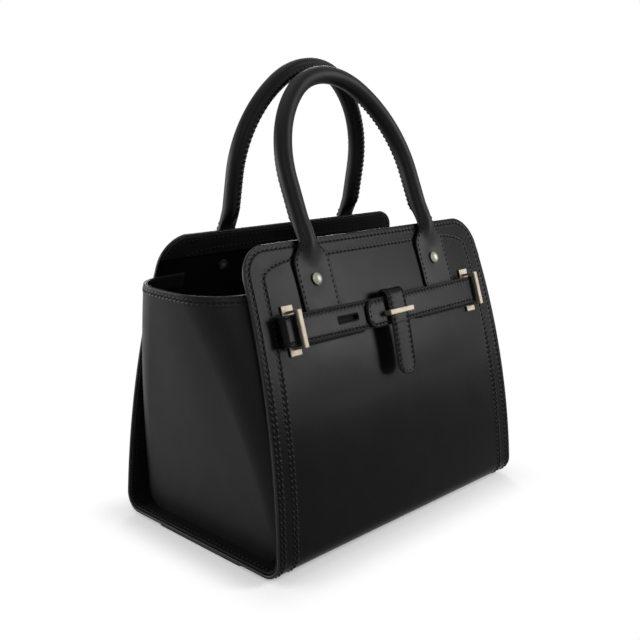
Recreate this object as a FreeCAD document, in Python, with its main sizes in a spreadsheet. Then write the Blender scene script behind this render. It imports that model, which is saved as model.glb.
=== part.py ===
import FreeCAD, Part
import math
import os
import Sketcher

# Top handle bag of black leather, in millimetres.
# +X is the bag's right, -Y its front and +Z up; the origin is on the floor under the base.

SIZES = {
    # body: one leather piece that runs from the front panel under the base to the rear panel
    "base_width": 310.0,
    "mouth_width": 287.0,
    "base_depth": 198.0,
    "mouth_depth": 91.0,
    "panel_height": 248.0,
    "panel_thickness": 2.8,
    "fold_radius": 16.0,
    "panel_tilt": 2.5,
    "corner_radius": 26.0,
    "seat_clearance": 0.15,
    # wear pad under the base and stiffener board on it
    "pad_thickness": 2.5,
    "pad_end_inset": 1.5,
    "pad_side_inset": 45.0,
    "pad_corner": 4.0,
    "board_thickness": 2.4,
    "board_side_inset": 20.0,
    "board_end_gap": 2.0,
    # facings sewn inside the top edges
    "facing_height": 20.0,
    "facing_thickness": 1.4,
    "facing_edge_gap": 1.0,
    # gussets: flanges on the body, a wall that bows out towards the mouth
    "gusset_thickness": 2.0,
    "gusset_drop": 34.0,
    "gusset_seam_inset": 37.0,
    "gusset_base_inset": 15.0,
    "gusset_bulge": 23.0,
    "gusset_bow": 1.25,
    "gusset_corner_base": 15.0,
    "gusset_corner_top": 40.0,
    "flange_edge_gap": 1.0,
    "hem_height": 13.0,
    "hem_thickness": 1.2,
    # handles
    "handle_inset": 80.5,
    "handle_diameter": 15.0,
    "handle_wall": 2.2,
    "core_clearance": 0.25,
    "seam_gap": 1.0,
    "leg_length": 41.5,
    "arch_height": 90.4,
    "arch_top_radius": 60.0,
    "neck_length": 14.0,
    "neck_width": 17.0,
    "knuckle_radius": 4.0,
    "knuckle_blend": 0.3,
    "hinge_rise": 5.5,
    "hinge_gap": 0.4,
    "front_handle_tilt": 22.0,
    "rear_handle_tilt": 10.5,
    # handle tabs on the panels and their rivets
    "tab_width": 39.0,
    "tab_flare": 20.0,
    "tab_thickness": 2.2,
    "tab_drop": 55.0,
    "tab_corner": 4.0,
    "rivet_drop": 31.0,
    "rivet_head": 10.0,
    "rivet_dome": 2.0,
    "rivet_rim": 0.8,
    "rivet_post": 4.0,
    "rivet_fit": 0.1,
    "cap_diameter": 9.0,
    "cap_thickness": 1.2,
    # belt halves
    "belt_drop": 64.1,
    "belt_width": 24.0,
    "belt_thickness": 2.4,
    "belt_fold_inset": 31.5,
    "belt_layer_gap": 3.2,
    "belt_turn_length": 18.5,
    "belt_return_length": 63.5,
    "belt_return_drop": 2.6,
    "left_belt_end": 20.0,
    "left_belt_dip": 5.0,
    "right_belt_end": 34.0,
    "belt_end_corner": 9.0,
    "slot_run": 67.2,
    "slot_length": 25.0,
    "slot_width": 4.0,
    # bridges: bar on two legs, backing plate inside; the outer two have a plate under them
    "bridge_inset": 42.7,
    "bridge_play": 0.8,
    "bridge_leg": 2.2,
    "bridge_bar_width": 4.6,
    "bridge_bar_thickness": 3.2,
    "bridge_bar_lift": 1.8,
    "bridge_bar_round": 1.2,
    "centre_bar_drop": 3.6,
    "bridge_plate_width": 11.6,
    "bridge_plate_length": 39.0,
    "bridge_plate_thickness": 1.4,
    "bridge_fit": 0.15,
    "backing_thickness": 1.0,
    "backing_clearance": 0.5,
    "backing_margin": 2.0,
    # closure strap that loops over the belt and hangs under the centre bridge
    "strap_stand": 1.0,
    "strap_width": 22.4,
    "strap_thickness": 2.2,
    "strap_root": 8.0,
    "strap_loop_rise": 9.6,
    "strap_play": 0.3,
    "tongue_hinge": 8.0,
    "tongue_gap": 0.35,
    "tongue_length": 49.2,
    "tongue_tilt": 5.0,
}

doc = FreeCAD.newDocument("TopHandleBag")
sheet = doc.addObject("Spreadsheet::Sheet", "Sizes")
for row, (alias, number) in enumerate(SIZES.items(), start=1):
    sheet.set("A%d" % row, alias)
    sheet.set("B%d" % row, str(number))
    sheet.setAlias("B%d" % row, alias)
layout = doc.addObject("Spreadsheet::Sheet", "Layout")
doc.recompute()


class Formula:
    """A sheet value, or one worked out from sheet values: its number and its expression."""

    def __init__(self, number, text):
        self.number = number
        self.text = text

    def __add__(self, other):
        other = formula(other)
        return Formula(self.number + other.number, "(%s + %s)" % (self.text, other.text))

    def __sub__(self, other):
        other = formula(other)
        return Formula(self.number - other.number, "(%s - %s)" % (self.text, other.text))

    def __mul__(self, other):
        other = formula(other)
        return Formula(self.number * other.number, "(%s * %s)" % (self.text, other.text))

    def __truediv__(self, other):
        other = formula(other)
        return Formula(self.number / other.number, "(%s / %s)" % (self.text, other.text))

    def __neg__(self):
        return Formula(-self.number, "(-1 * %s)" % self.text)


def formula(item):
    """Take a plain number as a formula."""
    if isinstance(item, Formula):
        return item
    return Formula(float(item), "%r" % float(item))


def size(alias):
    return Formula(float(sheet.get(alias)), "Sizes." + alias)


def sin(angle):
    return Formula(math.sin(math.radians(angle.number)), "sin(%s)" % angle.text)


def cos(angle):
    return Formula(math.cos(math.radians(angle.number)), "cos(%s)" % angle.text)


def arcsin(ratio):
    return Formula(math.degrees(math.asin(ratio.number)), "(asin(%s) / 1 deg)" % ratio.text)


def arctan(ratio):
    return Formula(math.degrees(math.atan(ratio.number)), "(atan(%s) / 1 deg)" % ratio.text)


def root(square):
    return Formula(math.sqrt(square.number), "sqrt(%s)" % square.text)


placed = []


def place(alias, value):
    """Keep a worked-out place or angle as a cell of the Layout sheet."""
    placed.append(alias)
    cell = "B%d" % len(placed)
    layout.set("A%d" % len(placed), alias)
    layout.set(cell, "=" + value.text)
    layout.setAlias(cell, alias)
    return Formula(value.number, "Layout." + alias)


# Side profile of a panel: half depth from the middle plane and height, on an arc that leans in.
floor_gap = size("pad_thickness")
thickness = size("panel_thickness")
fold = size("fold_radius")
lean_base = size("panel_tilt")
fold_out = place("fold_out", size("base_depth") / 2 - fold)
fold_up = place("fold_up", floor_gap + fold)
start_out = place("start_out", fold_out + fold * cos(lean_base))
start_up = place("start_up", fold_up + fold * sin(lean_base))
top_out = place("top_out", size("mouth_depth") / 2)
top_up = place("top_up", floor_gap + size("panel_height"))
chord_lean = arctan((start_out - top_out) / (top_up - start_up))
lean_top = place("lean_top", chord_lean * 2 - lean_base)
chord = root((start_out - top_out) * (start_out - top_out) + (top_up - start_up) * (top_up - start_up))
panel_radius = place("panel_radius", chord / (sin((lean_top - lean_base) / 2) * 2))
centre_out = place("centre_out", start_out - panel_radius * cos(lean_base))
centre_up = place("centre_up", start_up - panel_radius * sin(lean_base))
side_taper = place("side_taper", (size("base_width") - size("mouth_width")) / 2 / top_up)
half_width = size("base_width") / 2
handle_across = place("handle_across", half_width - size("handle_inset"))
gusset_seam = place("gusset_seam", half_width - size("gusset_seam_inset"))
belt_fold = place("belt_fold", half_width - size("belt_fold_inset"))
bridge_across = place("bridge_across", half_width - size("bridge_inset"))
degrees_per_length = place("degrees_per_length", formula(180.0 / math.pi) / panel_radius)


def panel_lean_at(up):
    """Lean of the panel's outer face at a height."""
    return arcsin((up - centre_up) / panel_radius)


def panel_point(lean, outward):
    """Half depth and height of the point that lies outward of the panel's outer face."""
    radius = panel_radius + outward
    return centre_out + radius * cos(lean), centre_up + radius * sin(lean)


belt_up = top_up - size("belt_drop")
belt_lean = place("belt_lean", panel_lean_at(belt_up))
belt_out = place("belt_out", panel_point(belt_lean, formula(0))[0])
rivet_up = top_up - size("rivet_drop")
rivet_lean = place("rivet_lean", panel_lean_at(rivet_up))
rivet_out = place("rivet_out", panel_point(rivet_lean, formula(0))[0])

# Levels of the belt and strap layers outward of the panel, each on the one below.
seat = size("seat_clearance")
belt_thick = size("belt_thickness")
plate_top = place("plate_top", seat + size("bridge_plate_thickness"))
return_level = place("return_level", plate_top + size("strap_play"))
belt_level = place("belt_level", return_level + belt_thick + size("belt_layer_gap"))
belt_face = place("belt_face", belt_level + belt_thick)
strap_level = place(
    "strap_level", belt_face + seat + size("strap_stand") + size("strap_play")
)
strap_face = place("strap_face", strap_level + size("strap_thickness"))


def bind(target, prop, value):
    target.setExpression(prop, formula(value).text)


def plane_of(body, role):
    return [item for item in body.Origin.OriginFeatures if item.Role == role][0]


def new_body(label):
    body = doc.addObject("PartDesign::Body", label)
    body.Label = label
    return body


def new_sketch(body, role, name, lift=None):
    """Sketch on one of the body's origin planes, lifted along that plane's normal."""
    sketch = body.newObject("Sketcher::SketchObject", name)
    sketch.AttachmentSupport = (plane_of(body, role), "")
    sketch.MapMode = "FlatFace"
    if lift is not None:
        bind(sketch, "AttachmentOffset.Base.z", lift)
    return sketch


def new_panel_sketch(body, name, lean, out, up, front=True):
    """Sketch that touches the front or rear panel at a height, X to the right."""
    sketch = new_sketch(body, "XZ_Plane", name)
    turn = -lean if front else lean
    shift = out if front else -out
    tilt = FreeCAD.Rotation(FreeCAD.Vector(1, 0, 0), turn.number)
    sketch.AttachmentOffset = FreeCAD.Placement(FreeCAD.Vector(0, up.number, shift.number), tilt)
    bind(sketch, "AttachmentOffset.Base.y", up)
    bind(sketch, "AttachmentOffset.Base.z", shift)
    bind(sketch, "AttachmentOffset.Rotation.Angle", turn)
    return sketch


def fix_value(sketch, kind, places, value):
    value = formula(value)
    index = sketch.addConstraint(Sketcher.Constraint(kind, *places, value.number))
    bind(sketch, "Constraints[%d]" % index, value)


def fix_point(sketch, edge, end, point):
    fix_value(sketch, "DistanceX", (-1, 1, edge, end), point[0])
    fix_value(sketch, "DistanceY", (-1, 1, edge, end), point[1])


def draw_edge(sketch, start, end, bend):
    """Add a line, or an arc of under half a turn whose centre lies left (1) or right (-1)."""
    first = FreeCAD.Vector(start[0].number, start[1].number, 0)
    last = FreeCAD.Vector(end[0].number, end[1].number, 0)
    if bend is None:
        return sketch.addGeometry(Part.LineSegment(first, last), False), 1, 2
    radius, side = bend
    middle = (first + last) / 2
    along = last - first
    reach = math.sqrt(max(radius.number ** 2 - along.Length ** 2 / 4, 0.0))
    across = FreeCAD.Vector(-along.y, along.x, 0).normalize()
    centre = middle + across * (reach * side)
    begin = math.atan2(first.y - centre.y, first.x - centre.x)
    finish = math.atan2(last.y - centre.y, last.x - centre.x)
    if side < 0:
        begin, finish = finish, begin
    if finish <= begin:
        finish += 2 * math.pi
    circle = Part.Circle(centre, FreeCAD.Vector(0, 0, 1), radius.number)
    edge = sketch.addGeometry(Part.ArcOfCircle(circle, begin, finish), False)
    fix_value(sketch, "Radius", (edge,), radius)
    if side < 0:
        return edge, 2, 1
    return edge, 1, 2


def draw(sketch, points, bends=None, closed=True):
    """Draw a chain of lines and arcs whose every corner is bound to the sheet."""
    bends = bends or {}
    points = [(formula(across), formula(up)) for across, up in points]
    count = len(points) if closed else len(points) - 1
    edges = []
    for index in range(count):
        bend = bends.get(index)
        if bend is not None:
            bend = (formula(bend[0]), bend[1])
        edges.append(draw_edge(sketch, points[index], points[(index + 1) % len(points)], bend))
    for index, (edge, start, end) in enumerate(edges):
        fix_point(sketch, edge, start, points[index])
        if index + 1 < count or closed:
            follower, follower_start, _ = edges[(index + 1) % count]
            sketch.addConstraint(Sketcher.Constraint("Coincident", edge, end, follower, follower_start))
    if not closed:
        edge, _, end = edges[-1]
        fix_point(sketch, edge, end, points[-1])


def draw_box(sketch, left, right, low, high):
    draw(sketch, [(left, low), (right, low), (right, high), (left, high)])


def draw_circle(sketch, centre, radius):
    centre = (formula(centre[0]), formula(centre[1]))
    radius = formula(radius)
    spot = FreeCAD.Vector(centre[0].number, centre[1].number, 0)
    circle = Part.Circle(spot, FreeCAD.Vector(0, 0, 1), radius.number)
    edge = sketch.addGeometry(circle, False)
    fix_value(sketch, "Radius", (edge,), radius)
    fix_point(sketch, edge, 3, centre)


def pad(body, sketch, length, symmetric=False):
    feature = body.newObject("PartDesign::Pad", sketch.Name + "Pad")
    feature.Profile = sketch
    bind(feature, "Length", length)
    if symmetric:
        feature.SideType = "Symmetric"
    sketch.Visibility = False
    return feature


def cut(body, sketch, length):
    """Pocket that cuts to both sides of its sketch, over a total length."""
    feature = body.newObject("PartDesign::Pocket", sketch.Name + "Cut")
    feature.Profile = sketch
    bind(feature, "Length", length)
    feature.SideType = "Symmetric"
    sketch.Visibility = False
    return feature


def set_frame(body, across, out, up, turn):
    """Place a body: turned about X, then moved; every number bound to the sheet."""
    across, out, up, turn = [formula(item) for item in (across, out, up, turn)]
    turned = FreeCAD.Rotation(FreeCAD.Vector(1, 0, 0), turn.number)
    body.Placement = FreeCAD.Placement(FreeCAD.Vector(across.number, out.number, up.number), turned)
    bind(body, "Placement.Base.x", across)
    bind(body, "Placement.Base.y", out)
    bind(body, "Placement.Base.z", up)
    bind(body, "Placement.Rotation.Angle", turn)


def set_belt_frame(body, across=0.0, drop=0.0):
    """Local frame on the front panel, a drop below belt height: X right, Y up the panel, Z outward."""
    drop = formula(drop)
    out = belt_out + drop * sin(belt_lean)
    up = belt_up - drop * cos(belt_lean)
    set_frame(body, across, -out, up, formula(90) - belt_lean)


def mirror(source, label, normal):
    twin = doc.addObject("Part::Mirroring", label)
    twin.Label = label
    twin.Source = source
    twin.Normal = normal
    return twin


ACROSS = FreeCAD.Vector(1, 0, 0)
DEPTH = FreeCAD.Vector(0, 1, 0)
nodes = []


def panel_outline(inset):
    """Half of a panel's front view: tapering side, rounded corner; inset from the edge."""
    taper_angle = arctan(side_taper)
    corner = size("corner_radius") - inset
    run = corner * cos(taper_angle) / (sin(taper_angle) + 1)
    half_base = half_width - inset
    half_top = half_base - side_taper * (top_up - inset)
    side_end = (half_top + run * sin(taper_angle), top_up - inset - run * cos(taper_angle))
    top_end = (half_top - run, top_up - inset)
    return (half_base, formula(0)), side_end, top_end, corner


def trim_to_panel(body, name, inset=0.0):
    """Cut away all that lies outside the panel's front view."""
    base_end, side_end, top_end, corner = panel_outline(formula(inset))
    outer = size("base_width")
    sketch = new_sketch(body, "XZ_Plane", name)
    draw_box(sketch, -outer, outer, -outer, outer * 2)
    left = [(-across, up) for across, up in (top_end, side_end, base_end)]
    draw(sketch, [base_end, side_end, top_end] + left, {1: (corner, 1), 3: (corner, 1)})
    cut(body, sketch, size("base_depth") * 2)


def make_body_wrap():
    body = new_body("body_wrap")
    inner = -thickness
    front = [
        (-fold_out, floor_gap),
        (-start_out, start_up),
        (-top_out, top_up),
        tuple_front(panel_point(lean_top, inner)),
        tuple_front(panel_point(lean_base, inner)),
        (-fold_out, floor_gap + thickness),
    ]
    rear = [(-out, up) for out, up in reversed(front)]
    inner_fold = fold - thickness
    inner_panel = panel_radius - thickness
    bends = {0: (fold, -1), 1: (panel_radius, -1), 3: (inner_panel, 1), 4: (inner_fold, 1)}
    bends.update({6: (inner_fold, 1), 7: (inner_panel, 1), 9: (panel_radius, -1), 10: (fold, -1)})
    profile = new_sketch(body, "YZ_Plane", "WrapProfile")
    draw(profile, front + rear, bends)
    pad(body, profile, size("base_width"), symmetric=True)
    trim_to_panel(body, "WrapOutline")
    for front_side, name in ((True, "FrontRivetHoles"), (False, "RearRivetHoles")):
        sketch = new_panel_sketch(body, name, rivet_lean, rivet_out, rivet_up, front_side)
        for side in (-1, 1):
            spot = (handle_across * side, 0)
            draw_circle(sketch, spot, size("rivet_post") / 2 + size("rivet_fit"))
        cut(body, sketch, fold)
    sketch = new_panel_sketch(body, "BridgeHoles", belt_lean, belt_out, belt_up)
    for side in (-1, 1):
        for leg in (-1, 1):
            leg_hole(sketch, bridge_across * side, leg)
    cut(body, sketch, fold)
    nodes.append(body)


def tuple_front(point):
    """Profile point on the front side."""
    return -point[0], point[1]


def leg_hole(sketch, across, leg, turned=False):
    """Hole for one leg of a bridge, its fit round it."""
    near = size("belt_width") / 2 + size("bridge_play")
    low, high = near, near + size("bridge_leg")
    if leg < 0:
        low, high = -high, -low
    fit = size("bridge_fit")
    half = size("bridge_bar_width") / 2
    across = formula(across)
    sides = (across - half - fit, across + half + fit, low - fit, high + fit)
    if turned:
        sides = (low - fit, high + fit, across - half - fit, across + half + fit)
    draw_box(sketch, *sides)


def make_base_pad():
    body = new_body("base_pad")
    sketch = new_sketch(body, "XY_Plane", "PadOutline")
    width = size("base_width") - size("pad_end_inset") * 2
    depth = size("base_depth") - size("pad_side_inset") * 2
    draw_rounded_box(sketch, width, depth, size("pad_corner"))
    pad(body, sketch, floor_gap)
    nodes.append(body)


def draw_rounded_box(sketch, width, depth, corner):
    half = width / 2
    deep = depth / 2
    points = [
        (corner - half, -deep),
        (half - corner, -deep),
        (half, corner - deep),
        (half, deep - corner),
        (half - corner, deep),
        (corner - half, deep),
        (-half, deep - corner),
        (-half, corner - deep),
    ]
    draw(sketch, points, {edge: (corner, 1) for edge in (1, 3, 5, 7)})


def make_base_board():
    body = new_body("base_board")
    sketch = new_sketch(body, "XY_Plane", "BoardOutline")
    width = (gusset_seam - size("board_end_gap")) * 2
    depth = size("base_depth") - size("board_side_inset") * 2
    draw_rounded_box(sketch, width, depth, size("pad_corner"))
    pad(body, sketch, size("board_thickness"))
    set_frame(body, 0, 0, floor_gap + thickness + seat, 0)
    nodes.append(body)


def draw_panel_band(sketch, low_lean, high_lean, inward, outward):
    """Strip that follows the front panel between two leans and two distances from its face."""
    corners = [
        tuple_front(panel_point(low_lean, inward)),
        tuple_front(panel_point(high_lean, inward)),
        tuple_front(panel_point(high_lean, outward)),
        tuple_front(panel_point(low_lean, outward)),
    ]
    draw(sketch, corners, {0: (panel_radius + inward, -1), 2: (panel_radius + outward, 1)})


def make_top_facings():
    body = new_body("front_top_facing")
    sketch = new_sketch(body, "YZ_Plane", "FacingProfile")
    gap = size("facing_edge_gap")
    high = lean_top - gap * degrees_per_length
    low = high - size("facing_height") * degrees_per_length
    outward = -(thickness + seat)
    draw_panel_band(sketch, low, high, outward - size("facing_thickness"), outward)
    pad(body, sketch, size("base_width"), symmetric=True)
    trim_to_panel(body, "FacingOutline", gap)
    nodes.append(body)
    nodes.append(mirror(body, "rear_top_facing", DEPTH))


def make_handle_tabs():
    """Flared tabs: narrow at the handle's neck, full width behind the belt."""
    body = new_body("front_left_handle_tab")
    profile = new_sketch(body, "YZ_Plane", "TabProfile")
    rise = size("hinge_rise") - size("knuckle_radius") - size("hinge_gap")
    high = lean_top + rise * degrees_per_length
    foot = top_up - size("tab_drop")
    low = panel_lean_at(foot)
    draw_panel_band(profile, low, high, seat, seat + size("tab_thickness"))
    pad(body, profile, size("tab_width"), symmetric=True)
    neck = size("neck_width") / 2
    wide = size("tab_width") / 2
    flare = size("tab_flare")
    corner = size("tab_corner")
    above = top_up + fold
    shoulder = top_up - flare
    waist = ((neck + wide) / 2, top_up - flare / 2)
    step = (wide - neck) / 2
    bend = (step * step + flare * flare / 4) / (step * 2)
    right = [(wide - corner, foot), (wide, foot + corner), (wide, shoulder), waist]
    right += [(neck, top_up), (neck, above)]
    left = [(-across, up) for across, up in reversed(right)]
    bends = {0: (corner, 1), 2: (bend, 1), 3: (bend, -1), 7: (bend, -1), 8: (bend, 1), 10: (corner, 1)}
    outline = new_sketch(body, "XZ_Plane", "TabOutline")
    outer = size("base_width")
    draw_box(outline, -outer, outer, -outer, outer * 2)
    draw(outline, right + left, bends)
    cut(body, outline, size("base_depth") * 2)
    hole = new_panel_sketch(body, "TabRivetHole", rivet_lean, rivet_out, rivet_up)
    draw_circle(hole, (0, 0), size("rivet_post") / 2 + size("rivet_fit"))
    cut(body, hole, fold)
    bind(body, "Placement.Base.x", -(handle_across))
    right_tab = mirror(body, "front_right_handle_tab", ACROSS)
    nodes.extend([body, right_tab])
    nodes.append(mirror(body, "rear_left_handle_tab", DEPTH))
    nodes.append(mirror(right_tab, "rear_right_handle_tab", DEPTH))


def revolve(body, sketch):
    feature = body.newObject("PartDesign::Revolution", sketch.Name + "Turn")
    feature.Profile = sketch
    feature.ReferenceAxis = (sketch, ["V_Axis"])
    feature.Angle = 360.0
    sketch.Visibility = False


def fourfold(first, label):
    """Group of four: the first one and its mirror images on both panels."""
    right = mirror(first, label + "_front_right", ACROSS)
    copies = [first, right, mirror(first, label + "_rear_left", DEPTH)]
    copies.append(mirror(right, label + "_rear_right", DEPTH))
    group = doc.addObject("Part::Compound", label)
    group.Label = label
    group.Links = copies
    nodes.append(group)


def make_rivets():
    post = size("rivet_post") / 2
    head = size("rivet_head") / 2
    dome = size("rivet_dome")
    seat_up = seat * 2 + size("tab_thickness")
    rim_up = seat_up + size("rivet_rim")
    foot = -(thickness + seat + size("cap_thickness"))
    rivet = new_body("rivet_front_left")
    sketch = new_sketch(rivet, "XZ_Plane", "RivetProfile")
    points = [(0, foot), (post, foot), (post, seat_up), (head, seat_up), (head, rim_up), (0, rim_up + dome)]
    dome_radius = (head * head + dome * dome) / (dome * 2)
    draw(sketch, points, {4: (dome_radius, 1)})
    revolve(rivet, sketch)
    set_frame(rivet, -(handle_across), -rivet_out, rivet_up, formula(90) - rivet_lean)
    cap = new_body("rivet_cap_front_left")
    ring = new_sketch(cap, "XZ_Plane", "CapProfile")
    bore = post + size("rivet_fit")
    draw_box(ring, bore, size("cap_diameter") / 2, foot, -(thickness + seat))
    revolve(cap, ring)
    set_frame(cap, -(handle_across), -rivet_out, rivet_up, formula(90) - rivet_lean)
    fourfold(rivet, "handle_rivets")
    fourfold(cap, "handle_rivet_caps")


def draw_handle_path(sketch, start):
    """Two straight legs and a tall arch of three arcs, in the handle's own plane."""
    half = handle_across
    leg = size("leg_length")
    arch = size("arch_height")
    crown = size("arch_top_radius")
    drop = arch - crown
    shoulder = (half * half + drop * drop - crown * crown) / ((half - crown) * 2)
    spread = shoulder - crown
    joint_out = crown * (shoulder - half) / spread
    joint_up = leg + drop + crown * drop / spread
    left = [(-half, start), (-half, leg), (-joint_out, joint_up)]
    right = [(-across, up) for across, up in reversed(left)]
    draw(sketch, left + right, {1: (shoulder, -1), 2: (crown, -1), 3: (shoulder, -1)}, closed=False)


def pipe(body, profile, path):
    doc.recompute()
    feature = body.newObject("PartDesign::AdditivePipe", profile.Name + "Pipe")
    feature.Profile = profile
    edges = ["Edge%d" % (index + 1) for index in range(len(path.Shape.Edges))]
    feature.Spine = (path, edges)
    profile.Visibility = False
    path.Visibility = False


def set_handle_frame(body, front):
    """Hinge frame of a handle: on the tab's mid plane, above the panel's top edge."""
    middle = seat + size("tab_thickness") / 2
    rise = size("hinge_rise")
    out = top_out + middle * cos(lean_top) - rise * sin(lean_top)
    up = top_up + middle * sin(lean_top) + rise * cos(lean_top)
    if front:
        set_frame(body, 0, -out, up, -size("front_handle_tilt"))
    else:
        set_frame(body, 0, out, up, size("rear_handle_tilt"))


def make_handle(name, front):
    """Leather rolled round a core, open along its inward seam, flattened to a neck at each end."""
    inward = 1 if front else -1
    half = handle_across
    outer = size("handle_diameter") / 2
    inner = outer - size("handle_wall")
    neck = size("neck_length")
    lip = size("seam_gap") / 2
    body = new_body(name + "_handle_cover")
    path = new_sketch(body, "XZ_Plane", name + "CoverPath")
    draw_handle_path(path, neck)
    ring = new_sketch(body, "XY_Plane", name + "CoverRing", neck)
    outer_lip = root(outer * outer - lip * lip) * inward
    inner_lip = root(inner * inner - lip * lip) * inward
    points = [
        (lip - half, outer_lip),
        (-half, outer * -inward),
        (-half - lip, outer_lip),
        (-half - lip, inner_lip),
        (-half, inner * -inward),
        (lip - half, inner_lip),
    ]
    turn = -inward
    draw(ring, points, {0: (outer, turn), 1: (outer, turn), 3: (inner, -turn), 4: (inner, -turn)})
    pipe(body, ring, path)
    for side, label in ((-1, "Left"), (1, "Right")):
        add_neck(body, name + label, half * side, outer)
    set_handle_frame(body, front)
    nodes.append(body)
    core = new_body(name + "_handle_core")
    core_path = new_sketch(core, "XZ_Plane", name + "CorePath")
    gap = size("core_clearance")
    draw_handle_path(core_path, neck + gap)
    disc = new_sketch(core, "XY_Plane", name + "CoreDisc", neck + gap)
    draw_circle(disc, (-half, 0), inner - gap)
    pipe(core, disc, core_path)
    set_handle_frame(core, front)
    nodes.append(core)


def add_neck(body, name, across, radius):
    """Round roll flattened to a knuckle that turns about the hinge line."""
    knuckle = size("knuckle_radius")
    blend = size("knuckle_blend")
    wide = size("neck_width") / 2 - blend
    deep = knuckle - blend
    reach = radius * math.sqrt(0.5)
    corners = ((1, -1), (1, 1), (-1, 1), (-1, -1))
    flat = new_sketch(body, "XY_Plane", name + "NeckFoot")
    draw(flat, [(across + wide * right, deep * up) for right, up in corners])
    round_end = new_sketch(body, "XY_Plane", name + "NeckTop", size("neck_length"))
    quarter = [(across + reach * right, reach * up) for right, up in corners]
    draw(round_end, quarter, {edge: (radius, 1) for edge in range(4)})
    loft = body.newObject("PartDesign::AdditiveLoft", name + "Neck")
    loft.Profile = flat
    loft.Sections = [round_end]
    loft.Ruled = True
    disc = new_sketch(body, "YZ_Plane", name + "Knuckle", across)
    draw_circle(disc, (0, 0), knuckle)
    pad(body, disc, size("neck_width"), symmetric=True)


def make_left_belt():
    """Belt half that folds back on itself at its outer end and dips under the other half."""
    body = new_body("left_belt")
    length = belt_fold + size("left_belt_end")
    slope = place("left_belt_slope", arcsin(size("left_belt_dip") / length))
    add_belt_layers(body, "LeftBelt", -1, length, slope)
    run = size("slot_run")
    slots = new_sketch(body, "XY_Plane", "SpareSlot", belt_level + belt_thick / 2 - run * sin(slope))
    half = size("slot_width") / 2
    reach = size("slot_length") / 2 - half
    middle = run - belt_fold
    near, far = middle - reach, middle + reach
    points = [(near, -half), (far, -half), (far + half, 0), (far, half), (near, half), (near - half, 0)]
    draw(slots, points, {edge: (half, 1) for edge in (1, 2, 4, 5)})
    cut(body, slots, belt_thick * 1.5)
    nodes.append(body)


def make_right_belt():
    """Belt half on top, with a round end and the holes for the centre bridge."""
    body = new_body("right_belt")
    length = belt_fold + size("right_belt_end")
    add_belt_layers(body, "RightBelt", 1, length, formula(0))
    corner = size("belt_end_corner")
    end = -size("right_belt_end")
    half = size("belt_width") / 2
    rounding = new_sketch(body, "XY_Plane", "BeltEndRounding", belt_level)
    beyond, within = end - corner, end + corner
    straight, outside = half - corner, half + corner
    for side in (-1, 1):
        points = [(end, straight * side), (within, half * side), (within, outside * side)]
        points += [(beyond, outside * side), (beyond, straight * side)]
        draw(rounding, points, {0: (corner, -side)})
    cut(body, rounding, belt_thick * 4)
    holes = new_sketch(body, "XY_Plane", "CentreLegHoles", belt_level)
    for leg in (-1, 1):
        leg_hole(holes, -size("centre_bar_drop"), leg, turned=True)
    cut(body, holes, belt_thick * 4)
    nodes.append(body)


def add_belt_layers(body, name, side, length, slope):
    """Front layer and fold in one strip, return layer behind it and set a little lower."""
    fold_across = belt_fold * side
    inner = size("belt_layer_gap") / 2
    outer = inner + belt_thick
    fold_level = return_level + outer
    run = (cos(slope) * -side, -sin(slope))
    rise = (sin(slope) * -side, cos(slope))

    def on_front(radius, along):
        across = fold_across + rise[0] * radius + run[0] * along
        return across, fold_level + rise[1] * radius + run[1] * along

    start = formula(0)
    points = [
        (fold_across, fold_level - inner),
        (fold_across + inner * side, fold_level),
        on_front(inner, start),
        on_front(inner, length),
        on_front(outer, length),
        on_front(outer, start),
        (fold_across + outer * side, fold_level),
        (fold_across, fold_level - outer),
    ]
    bends = {0: (inner, side), 1: (inner, side), 5: (outer, -side), 6: (outer, -side)}
    strip = new_sketch(body, "XZ_Plane", name + "Strip")
    draw(strip, points, bends)
    pad(body, strip, size("belt_width"), symmetric=True)
    step = (belt_fold - size("belt_turn_length")) * side
    end = (belt_fold - size("belt_return_length")) * side
    drop = size("belt_return_drop")
    for label, near, far, drop in (("Turn", step, fold_across, 0.0), ("Return", end, step, drop)):
        ends = [near, far] if side > 0 else [far, near]
        back = new_sketch(body, "XZ_Plane", name + label, drop)
        draw_box(back, ends[0], ends[1], return_level, return_level + belt_thick)
        pad(body, back, size("belt_width"), symmetric=True)
    set_belt_frame(body)


def make_bridge(name, across, foot, bar_low, drop=0.0, turned=False):
    """Bar on two legs that pass through the leather and end in a backing plate."""
    near = size("belt_width") / 2 + size("bridge_play")
    far = near + size("bridge_leg")
    half = size("bridge_bar_width") / 2
    bar_high = bar_low + size("bridge_bar_thickness")
    bar = new_body(name + "_bridge")
    sketch = new_sketch(bar, "YZ_Plane" if not turned else "XZ_Plane", name + "Staple")
    points = [(-far, foot), (-near, foot), (-near, bar_low), (near, bar_low), (near, foot), (far, foot)]
    draw(sketch, points + [(far, bar_high), (-far, bar_high)])
    staple = pad(bar, sketch, half * 2, symmetric=True)
    set_belt_frame(bar, across, drop)
    backing = new_body(name + "_bridge_backing")
    margin = size("backing_margin")
    backing_high = foot + size("backing_thickness")
    add_holed_plate(backing, name + "Backing", half + margin, far + margin, foot, backing_high, turned)
    set_belt_frame(backing, across, drop)
    nodes.extend([bar, backing])
    return bar, staple, bar_high


def make_bridge_plate(name, across):
    """Plate on the panel, under an outer bridge."""
    plate = new_body(name + "_bridge_plate")
    deep = size("bridge_plate_width") / 2
    long = size("bridge_plate_length") / 2
    add_holed_plate(plate, name + "Plate", deep, long, seat, plate_top, False)
    set_belt_frame(plate, across)
    nodes.append(plate)


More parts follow.
